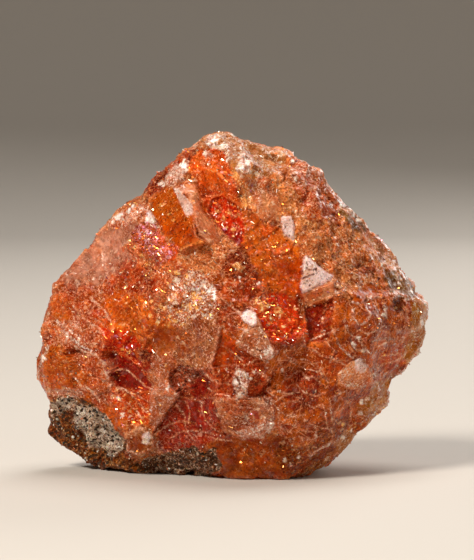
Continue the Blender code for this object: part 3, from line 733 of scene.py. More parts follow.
SPOTS = (
    # The white, gold and magenta sparks are painted glints: highlights painted on as colour.
    Spots("white sparks", Face.PAINTED_GLINT, 0.06, """
        190,283,1.6 198,290,1.8 204,284,1.5 186,296,1.4 196,303,1.5 210,305,1.3 193,291,1.3 201,297,1.4
        182,289,1.2 206,310,1.2 395,284,1.4 401,280,1.2 411,291,1.5 399,292,1.1 427,330,1.6 424,346,1.3
        405,369,1.3 316,436,1.4 214,140,3.6 223,146,2.6 225.5,153,2.4 227,159,2.0 241,156,3.0 247,163,2.6
        241,169,3.0 248,172,2.2 183,164,3.2 187,170,2.6 161,183,2.6 173,175,2.4 205,154,2.0 209.5,291.5,4.4
        214,299,2.2 189.3,380.4,1.7 268,351,2.4 272,356,1.8 358,221,2.0 354,214,1.6 423,322.7,2.4
        425.5,336,1.6 145,438.5,3.2 364,352,2.4 354,344,1.8 358.8,337.3,1.6 298,458,2.2 284.8,461,2.4
        291,464,1.5 43.3,358,2.4 120,217,3.0 128,212,2.4 134,206.5,2.2 112,222,1.8 238,373,2.6 246,375,2.4
        237,382,2.2 243,388,3.0 239,395,2.2 386,309,1.8 384,315,1.6 293,161,1.8 296,178,1.8 271,143,1.8
        233,134.5,1.6 262,150,1.6 341,205,1.8 399,283,1.6 362,401,2.4 367,399,1.8 361,413,1.8 352,432,2.0
        343,437,1.8 118,398,1.4 123,414,1.8 129,417,1.6 168,388,1.6 254,372,1.8 251,379,1.5 283,370,1.6
        240,276.5,1.4 259,283,1.4 152,221,1.6 158,227,1.4 189,185,1.6
    """),
    Spots("gold sparks", Face.PAINTED_GOLD_GLINT, 0.06, """
        170,316,1.8 176,322,1.6 164,308,1.4 181,311,1.5 172,300,1.4 188,318,1.3 183,305,1.3 176,295,1.3
        166,325,1.3 184,324,1.2 195,296,3.4 200,301,2.8 190,306,3.2 196,308,2.2 186,300,2.0 203,293,2.2
        172,321,2.6 169,325,1.8 179.5,327,2.4 153,302,2.2 151,315.5,1.6 158,322,1.5 165,296,1.5 167,317,1.5
        161,307,1.7 145,305,1.4 154,309,1.4 176,313,1.6 256,300,2.2 262,303,2.8 268,306,2.2 263,310,1.7
        279,311,2.8 272.5,318,2.2 284,326,1.5 276,332,1.4 290,319,1.4 296,309,1.3 287,337,1.5 269,325,1.5
        135,247,1.6 140,255,1.7 147,264,1.7 155,268,1.6 161,259,1.4 128,241,1.4 171,268,2.0 177,273,2.2
        182,268,1.8 188,276,2.0 194,281,1.7 166,274,1.5 129.5,352,1.8 122,350,1.3 166,366.5,1.6 331,327,1.5
        344,425,1.7 306,443,1.4 217.5,211,1.7 223,218,1.9 233,229.5,2.0 233.5,236,1.6 236.5,208,1.5
        229,213,1.6 131,402,1.7 137,409,1.8 143,417,1.8 125,395,1.5 118,389,1.4 146,409,1.4
    """),
    Spots("magenta sparks", Face.PAINTED_MAGENTA_GLINT, 0.08, """
        116.6,337,1.1 119.6,342,0.9 125.7,348,1.1 144,228,1.2 150,234,1.4 157,240,1.4 163,247,1.1
        149,243,1.1 170,252,1.1 140,236,1.0 156,251,1.0 147,222,0.9 225,228.5,0.9 251,190,1.1 253,186,0.9
    """),
    Spots("dark pores", Face.JOINT, -0.2, """
        188,367,1.8 176,371,1.6 198,374,1.6 306,457.7,1.8 395,303,3.0 402,309,2.4 360,264,1.6 369,268,2.0
        374,272,1.7 348,224,1.4 371,262,1.5 379,279,1.4 310,286,1.0 316,270,1.0 307,264,0.9 256,384,1.6
        269,384,1.7 352,299,1.6 357,297,1.4 338,226,1.4 333,214,1.3 286,176,1.3
    """),
)


def near_lines(flat: np.ndarray, runs: tuple[tuple[Pair, ...], ...]) -> np.ndarray:
    """How far each flat point lies from the nearest of some lines.

    Args:
        flat: column and row of each point.
        runs: the lines' corners.

    Returns:
        The distance in pixels.
    """
    nearest = np.full(len(flat), np.inf)
    for run in runs:
        for start, end in zip(run, run[1:]):
            way = np.subtract(end, start)
            along = np.clip((flat - start) @ way / (way @ way), 0, 1)
            nearest = np.minimum(nearest, np.linalg.norm(flat - start - along[:, None] * way, axis=1))
    return nearest


def add_node(tree: NodeTree, kind: str, given: dict | None = None) -> NodeOutputs:
    """Adds one node to a tree.

    Args:
        tree: the shader or geometry tree.
        kind: the node's type.
        given: the node's own properties and, by socket name or place, its inputs' values or the outputs
            that feed them.

    Returns:
        The new node's outputs.
    """
    node = tree.nodes.new(kind)
    for key, value in (given or {}).items():
        if isinstance(value, NodeSocket):
            tree.links.new(value, node.inputs[key])
        elif isinstance(key, str) and hasattr(node, key):
            setattr(node, key, value)
        else:
            node.inputs[key].default_value = value
    return node.outputs


def new_material(name: str) -> tuple[Material, NodeTree]:
    """Makes an empty material.

    Args:
        name: what the material is.

    Returns:
        The material and its tree.
    """
    material = bpy.data.materials.new(name)
    material.use_nodes = True
    material.node_tree.nodes.clear()
    return material, material.node_tree


@dataclass(frozen=True)
class BrokenFeldspar:
    """Aventurine feldspar: translucent, warm and glassy, flecked with pale cleavage, crossed by fine cracks.

    A field ending in _scale is a pattern's count for each millimetre of stone. One ending in _span says
    where a pattern starts to show and where it shows fully. The finest flecks of the real stone are under
    0.1 mm, less than a pixel of the photograph, so they are drawn at 0.2 to 0.4 mm.
    """

    # The glassy body: feldspar's index, the light that comes back through it, and its warm shine.
    index: float = 1.54
    glow: float = 0.2
    glow_reach: float = 0.0018
    glow_shades: Triple = (1.0, 0.32, 0.14)
    shine: float = 0.34
    sheen: str = "#FF9C5C"
    least_rough: float = 0.06
    coat_rough: float = 0.07
    coat_span: Pair = (0.73, 0.76)
    coat_shares: Pair = (0.02, 0.9)

    # How far places are bent, and how they are turned and drawn out, so that cracks run long.
    swirl_scale: float = 0.9
    bends: tuple[tuple[str, float], ...] = (("eased", 0.14), ("bent", 1.1))
    crack_turn: Triple = (0.2, 0.62, 0.3)
    crack_stretch: Triple = (0.52, 1.0, 1.0)
    grain_turn: Triple = (0.5, 0.9, 0.3)

    # The ground: drifts of tone, cleavage grains with painted light and shade, and murk deep in the stone.
    tone_scale: float = 0.45
    tone_span: Pair = (0.40, 0.60)
    grain_scale: float = 1.3
    grain_painted_light_swing: float = 0.40
    grain_painted_light_base: float = 0.88
    murk_scale: float = 0.32
    murk_span: Pair = (0.58, 0.34)
    murk_tint: tuple[float, float, float, float] = (0.62, 0.38, 0.22, 1.0)

    # Pale flecks. A layer's four numbers: how much the share of flecks adds, its span, and its strength.
    chip_scale: float = 1.9
    chip_layer: tuple[float, float, float, float] = (0.30, 0.97, 0.99, 0.55)
    crumb_scale: float = 2.9
    crumb_layer: tuple[float, float, float, float] = (0.20, 0.69, 0.73, 0.70)
    sugar_scale: float = 1.55
    sugar_sway: float = 0.05
    sugar_layer: tuple[float, float, float, float] = (-0.045, 0.035, -0.01, 0.85)

    # Dark things: painted shadows between crumbs, iron oxide specks, and the host rock's black grains.
    crumb_shadow_span: Pair = (0.45, 0.37)
    crumb_shadow_share: Pair = (0.9, 0.32)
    crumb_shadow_colour: str = "#520E00"
    speck_scale: float = 3.1
    speck_span: Pair = (0.67, 0.74)
    speck_swing: float = 0.25
    speck_share: float = 0.75
    speck_shade: str = "#341006"
    rock_scale: float = 1.8
    rock_span: Pair = (0.46, 0.38)
    rock_swing: float = 0.2
    rock_start: float = 0.6
    rock_shade: str = "#1E1A14"

    # Crack lines: the scale of each web and the half width of its lines, in parts of a cell.
    webs: tuple[Pair, ...] = ((0.21, 0.014), (0.40, 0.022), (0.72, 0.036))
    crack_core: float = 0.2
    crack_share: float = 0.7
    crack_part_scale: float = 1.4
    crack_part_span: Pair = (0.49, 0.60)

    # Relief: how far chips lean, how high the patterns stand against the crumbs, and the height in metres.
    facets: float = 0.62
    grain_height: float = 0.6
    sugar_height: float = 0.4
    relief: float = 0.00006
    relief_strength: float = 0.8

    def places(self, tree: NodeTree) -> Sockets:
        """Places on the stone in millimetres, for the patterns to lie on.

        Args:
            tree: the material's tree.

        Returns:
            The places as they are (size), a little bent (eased), that drawn out along the cracks (drawn),
            much bent (bent), and that turned as the grains lie (turned).
        """
        here = add_node(tree, "ShaderNodeTexCoord")["Object"]
        size = add_node(tree, "ShaderNodeVectorMath", {"operation": "SCALE", 0: here, "Scale": 1.0 / MM})[0]
        swirl = add_node(tree, "ShaderNodeTexNoise",
                         {"Vector": size, "Scale": self.swirl_scale, "Detail": 2.0})["Color"]
        found = {"size": size}
        for name, reach in self.bends:
            push = {"operation": "MULTIPLY_ADD", 0: swirl, 1: (reach, reach, reach), 2: size}
            found[name] = add_node(tree, "ShaderNodeVectorMath", push)[0]
        lie = add_node(tree, "ShaderNodeMapping", {"Vector": found["eased"], "Rotation": self.crack_turn})[0]
        found["drawn"] = add_node(tree, "ShaderNodeMapping", {"Vector": lie, "Scale": self.crack_stretch})[0]
        found["turned"] = add_node(tree, "ShaderNodeMapping",
                                   {"Vector": found["bent"], "Rotation": self.grain_turn})[0]
        return found

    def add_patterns(self, tree: NodeTree, at: Sockets) -> None:
        """Adds the patterns that colour and relief share: cleavage grains, chips and crumbs.

        Args:
            tree: the material's tree.
            at: the places, to which the patterns are added.
        """
        grain = add_node(tree, "ShaderNodeTexVoronoi",
                         {"distance": "MANHATTAN", "Vector": at["turned"], "Scale": self.grain_scale})
        at["grain"] = grain["Color"]
        at["grain height"] = grain["Distance"]
        at["chips"] = add_node(tree, "ShaderNodeTexVoronoi", {
            "distance": "CHEBYCHEV", "Vector": at["turned"], "Scale": self.chip_scale,
        })["Color"]
        at["crumbs"] = add_node(tree, "ShaderNodeTexNoise", {
            "Vector": at["size"], "Scale": self.crumb_scale, "Detail": 3.0, "Roughness": 0.65,
        })["Fac"]

    def ground(self, tree: NodeTree, at: Sockets) -> NodeSocket:
        """The body drifts between its two tones, and each cleavage grain gets its own painted light or
        shade.

        Args:
            tree: the material's tree.
            at: the places, the skin's attributes and the patterns.

        Returns:
            The colour.
        """
        tone = add_node(tree, "ShaderNodeTexNoise",
                        {"Vector": at["bent"], "Scale": self.tone_scale, "Detail": 4.0, "Roughness": 0.62})
        share = add_node(tree, "ShaderNodeMapRange", {
            "Value": tone["Fac"], "From Min": self.tone_span[0], "From Max": self.tone_span[1],
        })[0]
        colour = add_node(tree, "ShaderNodeMix", {
            "data_type": "RGBA", 0: share, 6: at["body_colour"], 7: at["second_colour"],
        })[2]
        murk = add_node(tree, "ShaderNodeTexNoise",
                        {"Vector": at["turned"], "Scale": self.murk_scale, "Detail": 6.0, "Roughness": 0.75})
        # Painted light and shade: each cleavage grain is painted lighter or darker, like a face catching the
        # light its own way.
        light = add_node(tree, "ShaderNodeMath", {
            "operation": "MULTIPLY_ADD", 0: at["grain"], 1: self.grain_painted_light_swing, 2: self.grain_painted_light_base,
        })[0]
        colour = add_node(tree, "ShaderNodeVectorMath", {"operation": "SCALE", 0: colour, "Scale": light})[0]
        deep = add_node(tree, "ShaderNodeMapRange", {
            "Value": murk["Fac"], "From Min": self.murk_span[0], "From Max": self.murk_span[1],
        })[0]
        return add_node(tree, "ShaderNodeMix", {
            "data_type": "RGBA", "blend_type": "MULTIPLY", 0: deep, 6: colour, 7: self.murk_tint,
        })[2]

    def flecked(self, tree: NodeTree, at: Sockets,
                colour: NodeSocket) -> NodeSocket:
        """Pale flecks: small straight-sided broken faces, crumbs, and the sugary edges of broken grains.

        Args:
            tree: the material's tree.
            at: the places, the skin's attributes and the patterns.
            colour: the ground.

        Returns:
            The colour. The share of sugar is kept with the patterns, for the relief.
        """
        sugar = add_node(tree, "ShaderNodeTexVoronoi", {
            "feature": "DISTANCE_TO_EDGE", "Vector": at["turned"], "Scale": self.sugar_scale,
        })["Distance"]
        torn = add_node(tree, "ShaderNodeMath",
                        {"operation": "MULTIPLY_ADD", 0: at["grain"], 1: self.sugar_sway, 2: sugar})[0]
        layers = ((at["chips"], self.chip_layer), (at["crumbs"], self.crumb_layer), (torn, self.sugar_layer))
        for pattern, (wanted, low, high, strength) in layers:
            sought = add_node(tree, "ShaderNodeMath", {
                "operation": "MULTIPLY_ADD", 0: at["flecks"], 1: wanted, 2: pattern,
            })[0]
            share = add_node(tree, "ShaderNodeMapRange", {
                "Value": sought, "From Min": low, "From Max": high, "To Max": strength,
            })[0]
            colour = add_node(tree, "ShaderNodeMix", {
                "data_type": "RGBA", 0: share, 6: colour, 7: at["fleck_colour"],
            })[2]
        at["sugar"] = share
        return colour

    def speckled(self, tree: NodeTree, at: Sockets,
                 colour: NodeSocket) -> NodeSocket:
        """Dark specks: iron oxide grains, painted shadow between broken grains, and black host rock grains.

        Args:
            tree: the material's tree.
            at: the places, the skin's attributes and the patterns.
            colour: the colour so far.

        Returns:
            The colour.
        """
        specks = at["specks"]
        # Painted shadow between the crumbs, darker where the finish has more specks.
        crumb_shadow_strength = add_node(tree, "ShaderNodeMath", {
            "operation": "MULTIPLY_ADD", 0: specks, 1: self.crumb_shadow_share[0], 2: self.crumb_shadow_share[1],
        })[0]
        crumb_shadow = add_node(tree, "ShaderNodeMapRange", {
            "Value": at["crumbs"], "From Min": self.crumb_shadow_span[0], "From Max": self.crumb_shadow_span[1],
            "To Max": crumb_shadow_strength,
        })[0]
        noise = add_node(tree, "ShaderNodeTexNoise",
                         {"Vector": at["turned"], "Scale": self.speck_scale, "Detail": 2.0})["Fac"]
        sought = add_node(tree, "ShaderNodeMath",
                          {"operation": "MULTIPLY_ADD", 0: specks, 1: self.speck_swing, 2: noise})[0]
        speck = add_node(tree, "ShaderNodeMapRange", {
            "Value": sought, "From Min": self.speck_span[0], "From Max": self.speck_span[1],
            "To Max": self.speck_share,
        })[0]
        rock = add_node(tree, "ShaderNodeTexVoronoi", {"Vector": at["drawn"], "Scale": self.rock_scale})
        sought = add_node(tree, "ShaderNodeMath",
                          {"operation": "MULTIPLY_ADD", 0: specks, 1: self.rock_swing, 2: rock["Color"]})[0]
        chosen = add_node(tree, "ShaderNodeMath",
                          {"operation": "GREATER_THAN", 0: sought, 1: self.rock_start})[0]
        black = add_node(tree, "ShaderNodeMapRange", {
            "Value": rock["Distance"], "From Min": self.rock_span[0], "From Max": self.rock_span[1],
            "To Max": chosen,
        })[0]
        black = add_node(tree, "ShaderNodeMath", {"operation": "MULTIPLY", 0: black, 1: at["host"]})[0]
        for share, shade in ((crumb_shadow, self.crumb_shadow_colour), (speck, self.speck_shade), (black, self.rock_shade)):
            colour = add_node(tree, "ShaderNodeMix",
                              {"data_type": "RGBA", 0: share, 6: colour, 7: opaque(shade)})[2]
        return colour

    def cracked(self, tree: NodeTree, at: Sockets,
                colour: NodeSocket) -> NodeSocket:
        """Crack lines: cracks inside the stone catch the light as thin pale lines, along part of their way.

        Args:
            tree: the material's tree.
            at: the places, the skin's attributes and the patterns.
            colour: the colour so far.

        Returns:
            The colour.
        """
        for scale, width in self.webs:
            cracks = add_node(tree, "ShaderNodeTexVoronoi",
                              {"feature": "DISTANCE_TO_EDGE", "Vector": at["drawn"], "Scale": scale})
            line = add_node(tree, "ShaderNodeMapRange", {
                "Value": cracks["Distance"], "From Min": width, "From Max": self.crack_core * width,
                "To Max": self.crack_share,
            })[0]
            part = add_node(tree, "ShaderNodeTexNoise",
                            {"Vector": at["turned"], "Scale": self.crack_part_scale * scale, "Detail": 3.0})
            shown = add_node(tree, "ShaderNodeMapRange", {
                "Value": part["Fac"], "From Min": self.crack_part_span[0],
                "From Max": self.crack_part_span[1],
            })[0]
            for share in (shown, at["web"]):
                line = add_node(tree, "ShaderNodeMath", {"operation": "MULTIPLY", 0: line, 1: share})[0]
            colour = add_node(tree, "ShaderNodeMix", {
                "data_type": "RGBA", 0: line, 6: colour, 7: at["fleck_colour"],
            })[2]
        return colour

    def relief_of(self, tree: NodeTree, at: Sockets) -> NodeSocket:
        """The surface's direction: every chip leans its own way, and crumbs and grain edges stand up.

        Args:
            tree: the material's tree.
            at: the skin's attributes and the patterns.

        Returns:
            The normal.
        """
        lean = add_node(tree, "ShaderNodeVectorMath",
                        {"operation": "SUBTRACT", 0: at["chips"], 1: (0.5, 0.5, 0.5)})[0]
        broken = add_node(tree, "ShaderNodeMath", {
            "operation": "MULTIPLY_ADD", 0: at["calm"], 1: -self.facets, 2: self.facets,
        })[0]
        lean = add_node(tree, "ShaderNodeVectorMath", {"operation": "SCALE", 0: lean, "Scale": broken})[0]
        out = add_node(tree, "ShaderNodeNewGeometry")["Normal"]
        out = add_node(tree, "ShaderNodeVectorMath", {"operation": "ADD", 0: out, 1: lean})[0]
        out = add_node(tree, "ShaderNodeVectorMath", {"operation": "NORMALIZE", 0: out})[0]
        height = at["crumbs"]
        for pattern, share in ((at["grain height"], self.grain_height), (at["sugar"], self.sugar_height)):
            height = add_node(tree, "ShaderNodeMath",
                              {"operation": "MULTIPLY_ADD", 0: pattern, 1: share, 2: height})[0]
        return add_node(tree, "ShaderNodeBump", {
            "Strength": self.relief_strength, "Distance": self.relief, "Height": height, "Normal": out,
        })[0]

    def glassy(self, tree: NodeTree, at: Sockets) -> NodeSocket:
        """Where the stone shines like cut glass: on a few clean chips, and nowhere on the host rock.

        Args:
            tree: the material's tree.
            at: the skin's attributes and the patterns.

        Returns:
            The share of glass.
        """
        clean = add_node(tree, "ShaderNodeMapRange", {
            "Value": at["chips"], "From Min": self.coat_span[0], "From Max": self.coat_span[1],
            "To Min": self.coat_shares[0], "To Max": self.coat_shares[1],
        })[0]
        stony = add_node(tree, "ShaderNodeMath", {"operation": "SUBTRACT", 0: 1.0, 1: at["host"]})[0]
        return add_node(tree, "ShaderNodeMath", {"operation": "MULTIPLY", 0: clean, 1: stony})[0]

    def make(self) -> Material:
        """Builds the material.

        Returns:
            The finished material.
        """
        material, tree = new_material("broken feldspar")
        at = self.places(tree)
        for name in SKIN_DATA:
            part = "Color" if name.endswith("_colour") else "Fac"
            at[name] = add_node(tree, "ShaderNodeAttribute", {"attribute_name": name})[part]
        self.add_patterns(tree, at)
        colour = self.ground(tree, at)
        for layer in (self.flecked, self.speckled, self.cracked):
            colour = layer(tree, at, colour)
        normal = self.relief_of(tree, at)
        rough = add_node(tree, "ShaderNodeMath", {
            "operation": "MULTIPLY_ADD", 0: at["grain"], 1: at["rough"], 2: self.least_rough,
        })[0]
        surface = add_node(tree, "ShaderNodeBsdfPrincipled", {
            "Base Color": colour, "Roughness": rough, "Normal": normal, "IOR": self.index,
            "Specular IOR Level": self.shine, "Specular Tint": opaque(self.sheen),
            "Subsurface Weight": self.glow, "Subsurface Radius": self.glow_shades,
            "Subsurface Scale": self.glow_reach,
            "Coat Weight": self.glassy(tree, at), "Coat Roughness": self.coat_rough,
            "Coat IOR": self.index, "Coat Normal": normal,
        })
        add_node(tree, "ShaderNodeOutputMaterial", {"Surface": surface["BSDF"]})
        return material


@dataclass(frozen=True)
class Grain:
    """A small scattered thing whose colour steps along its own tint attribute.

    shades gives each colour and where on the tint, from 0 to 1, it starts. glow_reach is in metres.
    """

    name: str
    shades: tuple[tuple[float, str], ...]
    metallic: float
    roughness: float
    index: float
    glow: float = 0.0
    glow_reach: float = 0.001

    def make(self) -> Material:
        """Builds the material.

        Returns:
            The finished material.
        """
        material, tree = new_material(self.name)
        tint = add_node(tree, "ShaderNodeAttribute", {"attribute_name": "tint"})["Fac"]
        colour = add_node(tree, "ShaderNodeValToRGB", {"Fac": tint})["Color"]
        ramp = tree.nodes[-1].color_ramp
        ramp.interpolation = "CONSTANT"
        while len(ramp.elements) < len(self.shades):
            ramp.elements.new(1.0)
        for element, (start, code) in zip(ramp.elements, self.shades):
            element.position = start
            element.color = opaque(code)
        surface = add_node(tree, "ShaderNodeBsdfPrincipled", {
            "Base Color": colour, "Metallic": self.metallic, "Roughness": self.roughness, "IOR": self.index,
            "Subsurface Weight": self.glow, "Subsurface Scale": self.glow_reach,
        })
        add_node(tree, "ShaderNodeOutputMaterial", {"Surface": surface["BSDF"]})
        return material


# Copper and iron oxide platelets: they give the stone its red, gold and magenta glints.
PLATELET_METAL = Grain("copper platelets", (
    (0.0, "#C8541E"), (0.3, "#E88238"), (0.55, "#F4B060"), (0.78, "#FFE4C8"), (0.95, "#D87898"),
), 1.0, 0.24, 1.5)

# Mixed minerals of the host rock: they give it its salt and pepper grain.
ROCK_MINERALS = Grain("host rock minerals", (
    (0.0, "#14110C"), (0.42, "#5A421E"), (0.55, "#A89C86"), (0.72, "#D8D0C0"), (0.92, "#8A4E18"),
), 0.0, 0.6, 1.55)

# Clear feldspar splinters: they give the broken faces their white, rose and orange sparks.
CLEAVED_GLASS = Grain("cleaved feldspar", (
    (0.0, "#D8703A"), (0.35, "#E89A6C"), (0.62, "#F2C4A4"), (0.84, "#FAEADC"),
), 0.0, 0.22, 1.54, 0.2)


@dataclass(frozen=True)
class PlainPaper:
    """Matt studio paper: the pale ground under the stone."""

    colour: str = "#C9C0B5"
    roughness: float = 0.9

    def make(self) -> Material:
        """Builds the material.

        Returns:
            The finished material.
        """
        material, tree = new_material("plain paper")
        surface = add_node(tree, "ShaderNodeBsdfPrincipled",
                           {"Base Color": opaque(self.colour), "Roughness": self.roughness})
        add_node(tree, "ShaderNodeOutputMaterial", {"Surface": surface["BSDF"]})
        return material


# How the cleavage lies in the stone, as turns round its three axes in radians.
CLEAVAGE_TURN = np.array(
    Matrix.Rotation(0.55, 3, "X") @ Matrix.Rotation(0.8, 3, "Z") @ Matrix.Rotation(0.4, 3, "Y")
)

# How much of a cell a grain's middle keeps clear of, and how blocky rather than round the grains are.
CELL_RIM = 0.1
BLOCKY = 0.6


def cleavage_blocks(points: np.ndarray, size: float,
                    salt: int) -> tuple[np.ndarray, np.ndarray, np.ndarray]:
    """Splits the stone into the blocky grains that feldspar breaks into.

    Args:
        points: places in millimetres.
        size: width of a grain in millimetres.
        salt: picks one of many patterns.

    Returns:
        For each point a number from 0 to 1 that its grain shares, how far its grain's sloping face rises
        there, in millimetres, and how close the next grain is, in grain widths.
    """
    turned = points @ CLEAVAGE_TURN / size
    cell = np.floor(turned).astype(np.int64)
    nearest = np.full(len(points), np.inf)
    second = nearest.copy()
    owner = cell.copy()
    middle = turned.copy()
    for shift in itertools.product((-1, 0, 1), repeat=3):
        near = cell + shift
        room = 1.0 - 2.0 * CELL_RIM
        heart = near + CELL_RIM + room * np.column_stack([hashed(near, salt + place) for place in range(3)])
        away = np.abs(turned - heart)
        far = BLOCKY * away.max(axis=1) + (1.0 - BLOCKY) * np.linalg.norm(away, axis=1)
        closer = far < nearest
        second = np.where(closer, nearest, np.minimum(second, far))
        nearest = np.where(closer, far, nearest)
        owner[closer] = near[closer]
        middle[closer] = heart[closer]
    lean = np.column_stack([hashed(owner, salt + 10 + place) for place in range(3)]) - 0.5
    rise = ((turned - middle) * lean).sum(axis=1) * size
    return hashed(owner, salt + 20), rise, second - nearest


@dataclass(frozen=True)
class Habit:
    """A finish that shows in drifts all over the stone, where no patch says otherwise.

    size is the width of a drift in millimetres, and start how high the drift has to be to show.
    """

    face: Face
    size: float
    salt: int
    start: float
    strength: float = 0.8


HABITS = (
    Habit(Face.BROWN_SPECKLE, 13.0, 11, -0.03),
    Habit(Face.ORANGE, 10.0, 12, 0.12),
    Habit(Face.ROSE_SPECKLE, 9.0, 13, 0.14),
    Habit(Face.GREY_PLATE, 7.0, 14, 0.22),
    Habit(Face.WEB, 12.0, 15, 0.14),
    Habit(Face.RED_GLITTER, 7.0, 16, 0.27),
    Habit(Face.FROST, 5.0, 17, 0.33, 0.9),
    Habit(Face.MAROON, 8.0, 18, 0.24),
    Habit(Face.WHITE_CRUMBS, 3.6, 21, 0.44, 0.9),
    Habit(Face.GOLD, 5.0, 19, 0.34, 0.7),
    Habit(Face.AMBER, 8.0, 20, 0.26),
)


@dataclass(frozen=True)
class HostSeam:
    """A lump of host rock that the feldspar grew on, round a point and so wide, in millimetres."""

    middle: Triple
    radius: float
    face: Face


HOST_SEAMS = (
    HostSeam((-20.0, 5.0, 4.0), 8.5, Face.HOST_OLIVE),
    HostSeam((-17.0, 9.0, 10.0), 5.0, Face.HOST_PALE),
    HostSeam((-6.0, 8.0, 0.0), 7.5, Face.HOST_GREEN),
    HostSeam((12.0, 17.0, 13.0), 5.5, Face.HOST_OLIVE),
)


@dataclass
class SkinMesh:
    """A triangle mesh as arrays, in millimetres."""

    points: np.ndarray
    faces: np.ndarray
    edges: np.ndarray

    def normals(self) -> np.ndarray:
        """The outward direction at each point.

        Returns:
            One row of length 1 for each point.
        """
        corners = self.points[self.faces]
        across = np.cross(corners[:, 1] - corners[:, 0], corners[:, 2] - corners[:, 0])
        total = np.zeros_like(self.points)
        for place in range(3):
            for axis in range(3):
                total[:, axis] += np.bincount(self.faces[:, place], across[:, axis], len(self.points))
        return total / np.maximum(np.linalg.norm(total, axis=1, keepdims=True), 1e-12)

    def averaged(self, values: np.ndarray) -> np.ndarray:
        """The mean of each point's neighbours.

        Args:
            values: one row for each point.

        Returns:
            One row for each point.
        """
        a, b = self.edges.T
        count = np.bincount(a, minlength=len(values)) + np.bincount(b, minlength=len(values))
        flat = values.reshape(len(values), -1)
        means = [
            (np.bincount(a, column[b], len(values)) + np.bincount(b, column[a], len(values))) / count
            for column in flat.T
        ]
        return np.column_stack(means).reshape(values.shape)

    def bend(self, rounds: int) -> np.ndarray:
        """How sharply the surface bends, above 0 on ridges and below 0 in hollows.

        Args:
            rounds: how often the result is averaged over the neighbours.

        Returns:
            One number for each point.
        """
        away = self.points - self.averaged(self.points)
        reach = np.linalg.norm(self.points[self.edges[:, 0]] - self.points[self.edges[:, 1]], axis=1).mean()
        bend = (away * self.normals()).sum(axis=1) / reach
        for _ in range(rounds):
            bend = self.averaged(bend)
        return bend


